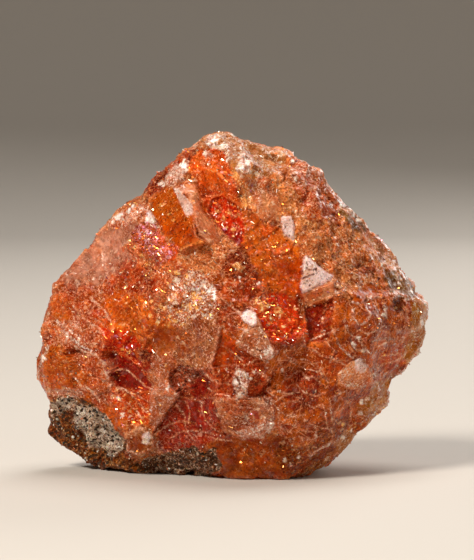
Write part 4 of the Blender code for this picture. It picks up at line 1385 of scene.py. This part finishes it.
@dataclass
class StoneSkin:
    """The stone's whole outer skin, with every face, pit and tone that the front shows.

    Lengths are in millimetres, and bevel, sway_reach and line_sway in the photograph's pixels. front_edge
    and back_edge are the longest edges in front and behind. blocks gives the width of cleavage grains,
    how far they step in or out and how steeply they slope, from coarse to fine, and broad_block the same
    for the broad faces behind. bare_foot is the height that stays free of scattered bodies. A field
    ending in _span says where a thing starts and where it is full.
    """

    view: Viewpoint
    front_edge: float = 0.33
    back_edge: float = 0.62
    ball_rounds: int = 6
    passes: int = 3

    # Carving: how a set patch's edge slopes, how flat it gets, and the fewest points it has to hold.
    bevel: float = 2.0
    flatness: float = 0.85
    fewest: int = 12

    # Where the photograph's finish ends, by how far the skin turns from the eye.
    turned_span: Pair = (-0.35, -0.02)
    turned_rounds: int = 6

    # Painting: the habit's drifts, and how the patches' edges sway and crumble.
    habit_edge: float = 0.06
    habit_drift: float = 0.65
    habit_block: float = 0.5
    seam_sway: float = 1.6
    sway_width: float = 2.2
    sway_reach: float = 3.0
    crumble_width: float = 0.45
    line_sway: float = 0.8
    line_share: float = 0.85

    # Breaking: cleavage steps with painted light and shade on their grains, the host rock's grain, and fine
    # pits.
    blocks: tuple[Triple, ...] = ((3.6, 0.40, 0.34), (1.8, 0.20, 0.42), (0.9, 0.10, 0.50))
    block_gap: float = 0.10
    block_painted_light: float = 0.34
    broad_block: Triple = (8.0, 0.9, 0.24)
    broad_gap: float = 0.06
    broad_rise: Pair = (0.5, 3.0)
    host_grain: float = 0.6
    host_relief: float = 0.14
    pit_width: float = 0.4
    pit_depth: float = 0.03
    bare_foot: float = 0.9
    salt: int = 1709

    # Edges: on fine and broad bends, ridges get frost and painted highlight, hollows get painted shade.
    fine_span: Pair = (0.06, 0.22)
    broad_span: Pair = (0.02, 0.08)
    frost: Pair = (0.42, 0.3)
    depth: Pair = (0.4, 0.45)
    ridge_frost_and_highlight_shade: str = "#DE7E44"
    ridge_frost_and_highlight_own: float = 0.5
    hollow_painted_shade: str = "#80200A"
    hollow_painted_shade_own: float = 0.45

    def packed_tree(self) -> BVHTree:
        """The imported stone's surface, for casting rays on.

        Returns:
            The tree, in millimetres.
        """
        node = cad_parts[STONE_NODE]
        packed = bmesh.new()
        packed.from_mesh(node.data)
        packed.transform(Matrix.Scale(1.0 / MM, 4) @ node.matrix_world)
        tree = BVHTree.FromBMesh(packed)
        packed.free()
        return tree

    def longest(self, middle: Vector) -> float:
        """The longest edge allowed at a place: short where the photograph sees it.

        Args:
            middle: the edge's middle.

        Returns:
            The length.
        """
        out = (middle - Vector(self.view.heart)).normalized()
        share = min(max((0.15 - out.y) / 0.40, 0.0), 1.0)
        return self.back_edge + share * (self.front_edge - self.back_edge)

    def cast(self) -> SkinMesh:
        """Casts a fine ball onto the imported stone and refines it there.

        Returns:
            The fine mesh.
        """
        tree = self.packed_tree()
        heart = Vector(self.view.heart)
        ball = bmesh.new()
        bmesh.ops.create_icosphere(ball, subdivisions=self.ball_rounds, radius=1.0,
                                  matrix=Matrix.Translation(heart))
        fresh = list(ball.verts)
        for round_done in range(self.passes + 1):
            for vert in fresh:
                vert.co = tree.ray_cast(heart, vert.co - heart)[0]
            if round_done == self.passes:
                break
            known = set(ball.verts)
            long_edges = [
                edge for edge in ball.edges
                if edge.calc_length() > self.longest((edge.verts[0].co + edge.verts[1].co) / 2)
            ]
            bmesh.ops.subdivide_edges(ball, edges=long_edges, cuts=1, use_grid_fill=True)
            bmesh.ops.triangulate(ball, faces=ball.faces)
            fresh = [vert for vert in ball.verts if vert not in known]
        ball.verts.index_update()
        mesh = SkinMesh(
            np.array([vert.co for vert in ball.verts]),
            np.array([[vert.index for vert in face.verts] for face in ball.faces]),
            np.array([[vert.index for vert in edge.verts] for edge in ball.edges]),
        )
        ball.free()
        return mesh

    def facing(self, mesh: SkinMesh) -> np.ndarray:
        """How much of the photograph's finish each point takes.

        Args:
            mesh: the skin.

        Returns:
            1 where the eye sees the skin, and 0 behind.
        """
        to_eye = self.view.eye - mesh.points
        to_eye /= np.linalg.norm(to_eye, axis=1, keepdims=True)
        out = mesh.normals()
        for _ in range(self.turned_rounds):
            out = mesh.averaged(out)
        return smooth_step(*self.turned_span, (out * to_eye).sum(axis=1))

    def carve(self, mesh: SkinMesh, facing: np.ndarray) -> None:
        """Flattens and sets in or out the patches that have a stand.

        Args:
            mesh: the skin, which is changed.
            facing: how much each point is seen.
        """
        away = mesh.points - self.view.eye
        depth = np.linalg.norm(away, axis=1)
        rays = away / depth[:, None]
        seen = self.view.pixels(mesh.points)
        for patch in PATCHES:
            if patch.stand is None:
                continue
            by = inside_by(seen, patch.corners)
            held = (by > 0) & (facing > 0.9)
            if held.sum() < self.fewest:
                log.warning("patch %s holds only %d points", patch.name, held.sum())
                continue
            middle = seen[held].mean(axis=0)
            flat = np.column_stack((np.ones(len(seen)), seen - middle))
            plane = np.linalg.lstsq(flat[held], depth[held], rcond=None)[0]
            tip = (flat[:, 1] * patch.tilt[0] - flat[:, 2] * patch.tilt[1]) * self.view.pixel
            wanted = flat @ plane - patch.stand - tip
            wanted = depth + self.flatness * (wanted - depth) - (1 - self.flatness) * patch.stand
            depth += smooth_step(-0.3 * self.bevel, self.bevel, by) * facing * (wanted - depth)
        for lines in LINES:
            off = near_lines(seen, lines.runs)
            depth -= lines.stand * smooth_step(-lines.width, 0.0, -off) * facing
        for spots in SPOTS:
            for column, row, radius in spots.places:
                off = np.linalg.norm(seen - (column, row), axis=1)
                depth -= spots.stand * smooth_step(-1.3 * radius, -0.5 * radius, -off) * facing
        mesh.points = self.view.eye + rays * depth[:, None]

    def habit(self, mesh: SkinMesh) -> np.ndarray:
        """The finish of the whole stone before any patch.

        Args:
            mesh: the skin.

        Returns:
            One row of finish numbers for each point.
        """
        rows = np.tile(Face.SPECKLE.value.row(), (len(mesh.points), 1))
        for habit in HABITS:
            shade = cleavage_blocks(mesh.points, 0.6 * habit.size, habit.salt)[0]
            swell = self.habit_drift * drift(mesh.points, habit.size, habit.salt, 3)
            swell += self.habit_block * (shade - 0.5)
            share = habit.strength * smooth_step(habit.start, habit.start + self.habit_edge, swell)
            rows += share[:, None] * (habit.face.value.row() - rows)
        ragged = self.seam_sway * drift(mesh.points, 2.6, 31, 3)
        for seam in HOST_SEAMS:
            off = np.linalg.norm(mesh.points - seam.middle, axis=1) + ragged
            share = smooth_step(0.0, 0.5, seam.radius - off)
            rows += share[:, None] * (seam.face.value.row() - rows)
        return rows

    def paint(self, mesh: SkinMesh, facing: np.ndarray) -> np.ndarray:
        """Lays the patches over the stone's habit.

        Args:
            mesh: the skin.
            facing: how much each point is seen.

        Returns:
            One row of finish numbers for each point.
        """
        rows = self.habit(mesh)
        seen = self.view.pixels(mesh.points)
        sway = np.column_stack([drift(mesh.points, self.sway_width, 41 + place, 4) for place in range(2)])
        crumble = drift(mesh.points, self.crumble_width, 43, 2)
        for patch in BROAD_PATCHES + PATCHES:
            margin = 2.0 * patch.soft + self.sway_reach * patch.wander
            corners = np.array(patch.corners)
            low, high = corners.min(axis=0) - margin, corners.max(axis=0) + margin
            near = ((seen > low) & (seen < high)).all(axis=1) & (facing > 0)
            by = inside_by(seen[near] + self.sway_reach * patch.wander * sway[near], patch.corners)
            by += patch.soft * crumble[near]
            share = smooth_step(-patch.soft / 2, patch.soft / 2, by) * facing[near] * patch.strength
            rows[near] += share[:, None] * (patch.face.value.row() - rows[near])
        for lines in LINES:
            off = near_lines(seen + self.line_sway * sway, lines.runs) + 0.5 * crumble
            share = smooth_step(-lines.width / 2 - 0.5, -lines.width / 2 + 0.4, -off) * facing
            rows += self.line_share * share[:, None] * (lines.face.value.row() - rows)
        for spots in SPOTS:
            for column, row, radius in spots.places:
                off = np.linalg.norm(seen - (column, row), axis=1)
                near = (off < 2.0 * radius + 1.0) & (facing > 0)
                by = 0.85 * radius - off[near] + 1.6 * radius * crumble[near]
                share = smooth_step(-0.4, 0.4, by) * facing[near]
                rows[near] += share[:, None] * (spots.face.value.row() - rows[near])
        return rows

    def roughen(self, mesh: SkinMesh, rows: np.ndarray, facing: np.ndarray) -> None:
        """Breaks the surface into cleavage steps, and the host rock into grains.

        Args:
            mesh: the skin, which is changed.
            rows: the finish of each point. Painted light and shade of the grains is worked into its colours.
            facing: how much each point is seen. Behind, the stone is broken into broad faces as well.
        """
        out = mesh.normals()
        for _ in range(3):
            out = mesh.averaged(out)
        on_foot = (mesh.points[:, 2] < 0.02) & (out[:, 2] < -0.9)
        alive = 1.0 - rows[:, COAT["calm"]]
        host = rows[:, COAT["host"]]
        lift = np.zeros(len(mesh.points))
        for number, (size, step, slope) in enumerate(self.blocks):
            shade, rise, gap = cleavage_blocks(mesh.points, size, self.salt + 100 * number)
            edge = smooth_step(0.0, self.block_gap, gap)
            lift += alive * edge * (step * (shade - 0.5) + slope * rise)
            # Painted light and shade: a grain that steps out is painted lighter, one that steps in darker.
            light = 1.0 + (self.block_painted_light * (shade - 0.5)) * (0.35 + 0.65 * alive)
            rows[:, COAT["body"]] *= light[:, None]
            rows[:, COAT["second"]] *= light[:, None]
        size, step, slope = self.broad_block
        shade, rise, gap = cleavage_blocks(mesh.points, size, self.salt + 800)
        behind = (1.0 - facing) * smooth_step(*self.broad_rise, mesh.points[:, 2])
        lift += behind * smooth_step(0.0, self.broad_gap, gap) * (step * (shade - 0.5) + slope * rise)
        shade, _, gap = cleavage_blocks(mesh.points, self.host_grain, self.salt + 900)
        lift += host * self.host_relief * (shade - 0.5) * smooth_step(0.0, 0.25, gap)
        lift += self.pit_depth * alive * drift(mesh.points, self.pit_width, self.salt + 7)
        moved = mesh.points + out * (lift * ~on_foot)[:, None]
        low, high = (np.array(corner) / MM for corner in CAD_BOX)
        mesh.points = np.clip(moved, low, high)

    def paint_edge_highlight_and_shade(self, mesh: SkinMesh, rows: np.ndarray) -> None:
        """Paints ridges paler, as frost and painted highlight, and hollows darker, as painted shade.

        Args:
            mesh: the finished skin.
            rows: the finish of each point, which is changed.
        """
        fine = mesh.bend(1)
        broad = mesh.bend(8)
        feldspar = 1.0 - rows[:, COAT["host"]]
        shares = [
            (fine_part * smooth_step(*self.fine_span, way * fine)
             + broad_part * smooth_step(*self.broad_span, way * broad)) * feldspar
            for way, (fine_part, broad_part) in ((1.0, self.frost), (-1.0, self.depth))
        ]
        # pale is frost and painted highlight for the ridges; dark is painted shade for the hollows.
        pale, dark = (
            own * rows[:, COAT[part]] + (1.0 - own) * np.array(linear(shade))
            for part, own, shade in (("fleck", self.ridge_frost_and_highlight_own, self.ridge_frost_and_highlight_shade),
                                     ("body", self.hollow_painted_shade_own, self.hollow_painted_shade))
        )
        for part in (COAT["body"], COAT["second"]):
            for share, shade in zip(shares, (pale, dark)):
                rows[:, part] += share[:, None] * (shade - rows[:, part])

    def build(self) -> Object:
        """Makes the skin as one closed mesh that carries its finish as attributes.

        Returns:
            The skin's object.
        """
        mesh = self.cast()
        facing = self.facing(mesh)
        self.carve(mesh, facing)
        rows = self.paint(mesh, facing)
        self.roughen(mesh, rows, facing)
        self.paint_edge_highlight_and_shade(mesh, rows)
        data = bpy.data.meshes.new("stone_skin")
        data.from_pydata((mesh.points * MM).tolist(), [], mesh.faces.tolist())
        self.store(data, rows)
        data.shade_smooth()
        data.set_sharp_from_angle(angle=math.radians(28))
        piece = bpy.data.objects.new("stone_skin", data)
        bpy.context.scene.collection.objects.link(piece)
        return piece

    def store(self, data: Mesh, rows: np.ndarray) -> None:
        """Keeps the finish of each point on the mesh.

        Args:
            data: the skin's mesh.
            rows: the finish of each point.
        """
        for name, place in COAT.items():
            if isinstance(place, slice):
                shades = np.clip(np.column_stack((rows[:, place], np.ones(len(rows)))), 0.0, 1.0)
                kept = data.attributes.new(f"{name}_colour", "FLOAT_COLOR", "POINT")
                kept.data.foreach_set("color", shades.astype(np.float32).ravel())
            else:
                kept = data.attributes.new(name, "FLOAT", "POINT")
                kept.data.foreach_set("value", rows[:, place].astype(np.float32))
        height = np.empty(3 * len(rows), np.float32)
        data.vertices.foreach_get("co", height)
        kept = data.attributes.new("room", "FLOAT", "POINT")
        kept.data.foreach_set("value", (height[2::3] > self.bare_foot * MM).astype(np.float32))

    def dress(self, piece: Object) -> None:
        """Gives the skin its material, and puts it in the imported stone's place.

        Args:
            piece: the skin's object.
        """
        piece.data.materials.append(BrokenFeldspar().make())
        adopt(piece)
        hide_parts(STONE_NODE)


def adopt(piece: Object) -> None:
    """Makes a piece part of the stone, and reports it.

    Args:
        piece: the piece's object.
    """
    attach(piece, BODY)
    piece.data.calc_loop_triangles()
    log.info("%s: %d triangles", piece.name, len(piece.data.loop_triangles))


class Body(Enum):
    """The shapes of scattered bodies: half width, half depth and half height as shares of their size."""

    PLATELET = (1.0, 1.0, 0.07)
    THREAD = (1.0, 0.22, 0.10)
    SPLINTER = (1.0, 0.34, 0.22)
    GRAIN = (1.0, 0.8, 1.0)


@dataclass
class Scatter:
    """Small closed bodies scattered on the skin by Geometry Nodes, as many as an attribute there asks for.

    density is how many stand on each square millimetre where the attribute is 1. sizes are the least and
    most of a body's half width in millimetres, and sink is how deep it sits, in half widths. lean is how
    far it tips at random, in radians. shared, if given, is the direction that all of them face, and order
    how well. along is the direction that their long sides follow, and flow how well. least_shape and
    most_shape are the least and most that a body is stretched along its three sides.
    """

    name: str
    body: Body
    attribute: str
    density: float
    sizes: Pair
    lean: float
    sink: float
    seed: int
    finish: Grain
    shared: Triple = (0.0, 0.0, 1.0)
    order: float = 0.0
    along: Triple = (1.0, 0.0, 0.0)
    flow: float = 0.0
    least_shape: Triple = (0.7, 0.55, 0.8)
    most_shape: Triple = (1.2, 1.0, 1.2)

    def one(self, tree: NodeTree) -> NodeSocket:
        """Adds one body, 1 in half width.

        Args:
            tree: the scatter's tree.

        Returns:
            The output that holds it.
        """
        if self.body is Body.PLATELET:
            given = {"Vertices": 6, "Radius": 1.0, "Depth": 2.0 * self.body.value[2]}
            return add_node(tree, "GeometryNodeMeshCylinder", given)["Mesh"]
        if self.body is Body.GRAIN:
            return add_node(tree, "GeometryNodeMeshIcoSphere", {"Radius": 1.0, "Subdivisions": 1})["Mesh"]
        sides = tuple(2.0 * half for half in self.body.value)
        return add_node(tree, "GeometryNodeMeshCube", {"Size": sides})["Mesh"]

    def turned(self, tree: NodeTree, out: NodeSocket,
               lean: NodeSocket) -> NodeSocket:
        """How each body is turned: flat on the skin or facing the shared way, and leaning a little.

        Args:
            tree: the scatter's tree.
            out: the skin's direction.
            lean: how far a body leans.

        Returns:
            The rotation.
        """
        facing = add_node(tree, "ShaderNodeMix",
                          {"data_type": "VECTOR", 0: self.order, 4: out, 5: self.shared})[1]
        flat = add_node(tree, "FunctionNodeAlignRotationToVector", {"axis": "Z", "Vector": facing})[0]
        flat = add_node(tree, "FunctionNodeAlignRotationToVector",
                        {"axis": "X", "pivot_axis": "Z", "Rotation": flat, "Vector": self.along})[0]
        back = add_node(tree, "ShaderNodeMath", {"operation": "MULTIPLY", 0: lean, 1: -1.0})[0]
        spin = math.pi * (1.0 - self.flow)
        turns = {
            place: add_node(tree, "FunctionNodeRandomValue",
                            {"data_type": "FLOAT", 2: least, 3: most, "Seed": self.seed + 1 + place})[1]
            for place, (least, most) in enumerate(((back, lean), (back, lean), (-spin, spin)))
        }
        turn = add_node(tree, "ShaderNodeCombineXYZ", turns)[0]
        return add_node(tree, "FunctionNodeRotateRotation", {"rotation_space": "LOCAL", 0: flat, 1: turn})[0]

    def tree(self, material: Material) -> NodeTree:
        """Builds the node tree, with named inputs for the sizes.

        Args:
            material: what the bodies are made of.

        Returns:
            The tree.
        """
        tree = bpy.data.node_groups.new(self.name, "GeometryNodeTree")
        tree.interface.new_socket("Geometry", in_out="INPUT", socket_type="NodeSocketGeometry")
        for name in ("Density", "Least size", "Most size", "Lean", "Sink"):
            tree.interface.new_socket(name, in_out="INPUT", socket_type="NodeSocketFloat")
        tree.interface.new_socket("Geometry", in_out="OUTPUT", socket_type="NodeSocketGeometry")
        given = add_node(tree, "NodeGroupInput")
        crowd = given["Density"]
        for name in (self.attribute, "room"):
            wanted = add_node(tree, "GeometryNodeInputNamedAttribute",
                              {"data_type": "FLOAT", "Name": name})[0]
            crowd = add_node(tree, "ShaderNodeMath", {"operation": "MULTIPLY", 0: wanted, 1: crowd})[0]
        spread = add_node(tree, "GeometryNodeDistributePointsOnFaces",
                          {"Seed": self.seed, "Mesh": given["Geometry"], "Density": crowd})
        tipped = self.turned(tree, spread["Normal"], given["Lean"])
        size = add_node(tree, "FunctionNodeRandomValue", {
            "data_type": "FLOAT", 2: given["Least size"], 3: given["Most size"], "Seed": self.seed + 4,
        })[1]
        squash = add_node(tree, "FunctionNodeRandomValue", {
            "data_type": "FLOAT_VECTOR", 0: self.least_shape, 1: self.most_shape, "Seed": self.seed + 5,
        })[0]
        full = add_node(tree, "ShaderNodeVectorMath", {"operation": "SCALE", 0: squash, "Scale": size})[0]
        depth = add_node(tree, "ShaderNodeMath", {"operation": "MULTIPLY", 0: size, 1: given["Sink"]})[0]
        inward = add_node(tree, "ShaderNodeVectorMath",
                          {"operation": "SCALE", 0: spread["Normal"], "Scale": depth})[0]
        sunk = add_node(tree, "GeometryNodeSetPosition", {"Geometry": spread["Points"], "Offset": inward})[0]
        placed = add_node(tree, "GeometryNodeInstanceOnPoints", {
            "Points": sunk, "Instance": self.one(tree), "Rotation": tipped, "Scale": full,
        })[0]
        tint = add_node(tree, "FunctionNodeRandomValue", {"data_type": "FLOAT", "Seed": self.seed + 6})[1]
        tinted = add_node(tree, "GeometryNodeStoreNamedAttribute", {
            "data_type": "FLOAT", "domain": "INSTANCE", "Name": "tint", "Geometry": placed, "Value": tint,
        })[0]
        real = add_node(tree, "GeometryNodeRealizeInstances", {"Geometry": tinted})[0]
        dressed = add_node(tree, "GeometryNodeSetMaterial", {"Geometry": real, "Material": material})[0]
        add_node(tree, "NodeGroupOutput", {0: dressed})
        return tree

    def build(self, skin: Object) -> Object:
        """Scatters the bodies on the skin and makes them a mesh of their own.

        Args:
            skin: the stone's skin.

        Returns:
            The bodies' object.
        """
        piece = bpy.data.objects.new(self.name, skin.data.copy())
        bpy.context.scene.collection.objects.link(piece)
        tree = self.tree(self.finish.make())
        modifier = piece.modifiers.new(self.name, "NODES")
        modifier.node_group = tree
        values = {
            "Density": self.density / MM**2,
            "Least size": self.sizes[0] * MM,
            "Most size": self.sizes[1] * MM,
            "Lean": self.lean,
            "Sink": -self.sink,
        }
        for socket in tree.interface.items_tree:
            if socket.in_out == "INPUT" and socket.name in values:
                modifier[socket.identifier] = values[socket.name]
        seen = bpy.context.evaluated_depsgraph_get()
        made = bpy.data.meshes.new_from_object(piece.evaluated_get(seen))
        piece.modifiers.remove(modifier)
        piece.data = made
        made.name = self.name
        return piece

    def dress(self, piece: Object) -> None:
        """Makes the bodies part of the stone."""
        adopt(piece)


# The platelets lie in one crystal direction, which lies between the main light and the eye.
SCHILLER = (-0.25, -0.83, 0.49)

# The glints of the left side follow one cleavage, which runs down to the right.
STREAK = (0.84, 0.0, -0.54)

SCATTERS = (
    Scatter("platelets", Body.PLATELET, "glitter", 1.1, (0.08, 0.19), 0.4, 0.0, 5, PLATELET_METAL,
            SCHILLER, 0.8),
    Scatter("threads", Body.THREAD, "glitter", 2.2, (0.12, 0.38), 0.4, 0.0, 7, PLATELET_METAL,
            SCHILLER, 0.7, STREAK, 0.85),
    Scatter("splinters", Body.SPLINTER, "flecks", 0.8, (0.10, 0.26), 0.7, 0.1, 8, CLEAVED_GLASS),
    Scatter("rock_grains", Body.GRAIN, "host", 0.35, (0.10, 0.30), 3.0, 0.25, 6, ROCK_MINERALS),
)


@dataclass
class Studio:
    """A pale paper bowl under the stone, and soft lights round it.

    profile gives the bowl's radius and height from the inside out, in metres, and ring how many sides it
    has. lamps gives each light's name, place and side in metres, power in watts and colour.
    """

    profile: tuple[Pair, ...] = (
        (0.6, 0.0), (0.9, 0.03), (1.1, 0.12), (1.2, 0.3), (1.25, 0.6), (1.25, 1.3),
    )
    ring: int = 96
    lamps: tuple[tuple[str, Triple, float, float, str], ...] = (
        ("key", (-0.30, -0.34, 0.46), 0.14, 3.9, "#FFFBF4"),
        ("fill", (0.46, -0.40, 0.22), 0.40, 0.5, "#FFF8F2"),
        ("top", (0.08, 0.10, 0.62), 0.40, 2.6, "#FFFFFF"),
        ("back", (0.30, 0.46, 0.30), 0.40, 1.4, "#FFFFFF"),
    )
    lit: Triple = (0.0, 0.0, 0.025)
    world: float = 0.05
    world_colour: str = "#F4F3F2"

    def floor(self) -> Object:
        """Builds the ground: flat under the stone and rising to a wall far behind it.

        Returns:
            The ground's object.
        """
        points = [(0.0, 0.0, 0.0)]
        faces = []
        for level, (r, z) in enumerate(self.profile):
            start = len(points)
            for step in range(self.ring):
                angle = math.tau * step / self.ring
                points.append((r * math.cos(angle), r * math.sin(angle), z))
                after = (step + 1) % self.ring
                if level == 0:
                    faces.append((0, start + step, start + after))
                else:
                    inner = start - self.ring
                    faces.append((inner + step, start + step, start + after, inner + after))
        data = bpy.data.meshes.new("floor")
        data.from_pydata(points, [], faces)
        data.shade_smooth()
        floor = bpy.data.objects.new("floor", data)
        bpy.context.scene.collection.objects.link(floor)
        data.materials.append(PlainPaper().make())
        return floor

    def light(self, name: str, place: Triple, size: float, power: float,
              shade: str) -> None:
        """Hangs one soft square light that faces the stone.

        Args:
            name: the light's name.
            place: where it hangs, in metres.
            size: its side, in metres.
            power: its power, in watts.
            shade: its colour.
        """
        lamp = bpy.data.lights.new(name, "AREA")
        lamp.size = size
        lamp.energy = power
        lamp.color = linear(shade)
        holder = bpy.data.objects.new(name, lamp)
        bpy.context.scene.collection.objects.link(holder)
        holder.location = place
        holder.rotation_euler = (Vector(place) - Vector(self.lit)).to_track_quat("Z", "Y").to_euler()

    def build(self) -> None:
        """Builds the ground, the lights and the pale world."""
        self.floor()
        for lamp in self.lamps:
            self.light(*lamp)
        world = bpy.data.worlds.new("pale room")
        world.use_nodes = True
        backdrop = world.node_tree.nodes["Background"]
        backdrop.inputs["Color"].default_value = opaque(self.world_colour)
        backdrop.inputs["Strength"].default_value = self.world
        bpy.context.scene.world = world
        bpy.context.scene.view_settings.view_transform = "Standard"


def main() -> None:
    """Builds the stone, its scattered grains, the studio and the camera, in that order."""
    logging.basicConfig(level=logging.INFO, format="%(name)s: %(message)s")
    stone_width = (CAD_BOX[1].x - CAD_BOX[0].x) / MM
    view = Viewpoint(heart=HEART, pixel=stone_width / STONE_COLUMNS)
    maker = StoneSkin(view)
    skin = maker.build()
    maker.dress(skin)
    for scatter in SCATTERS:
        scatter.dress(scatter.build(skin))
    Studio().build()
    view.make_camera()


if __name__ == "__main__":
    main()
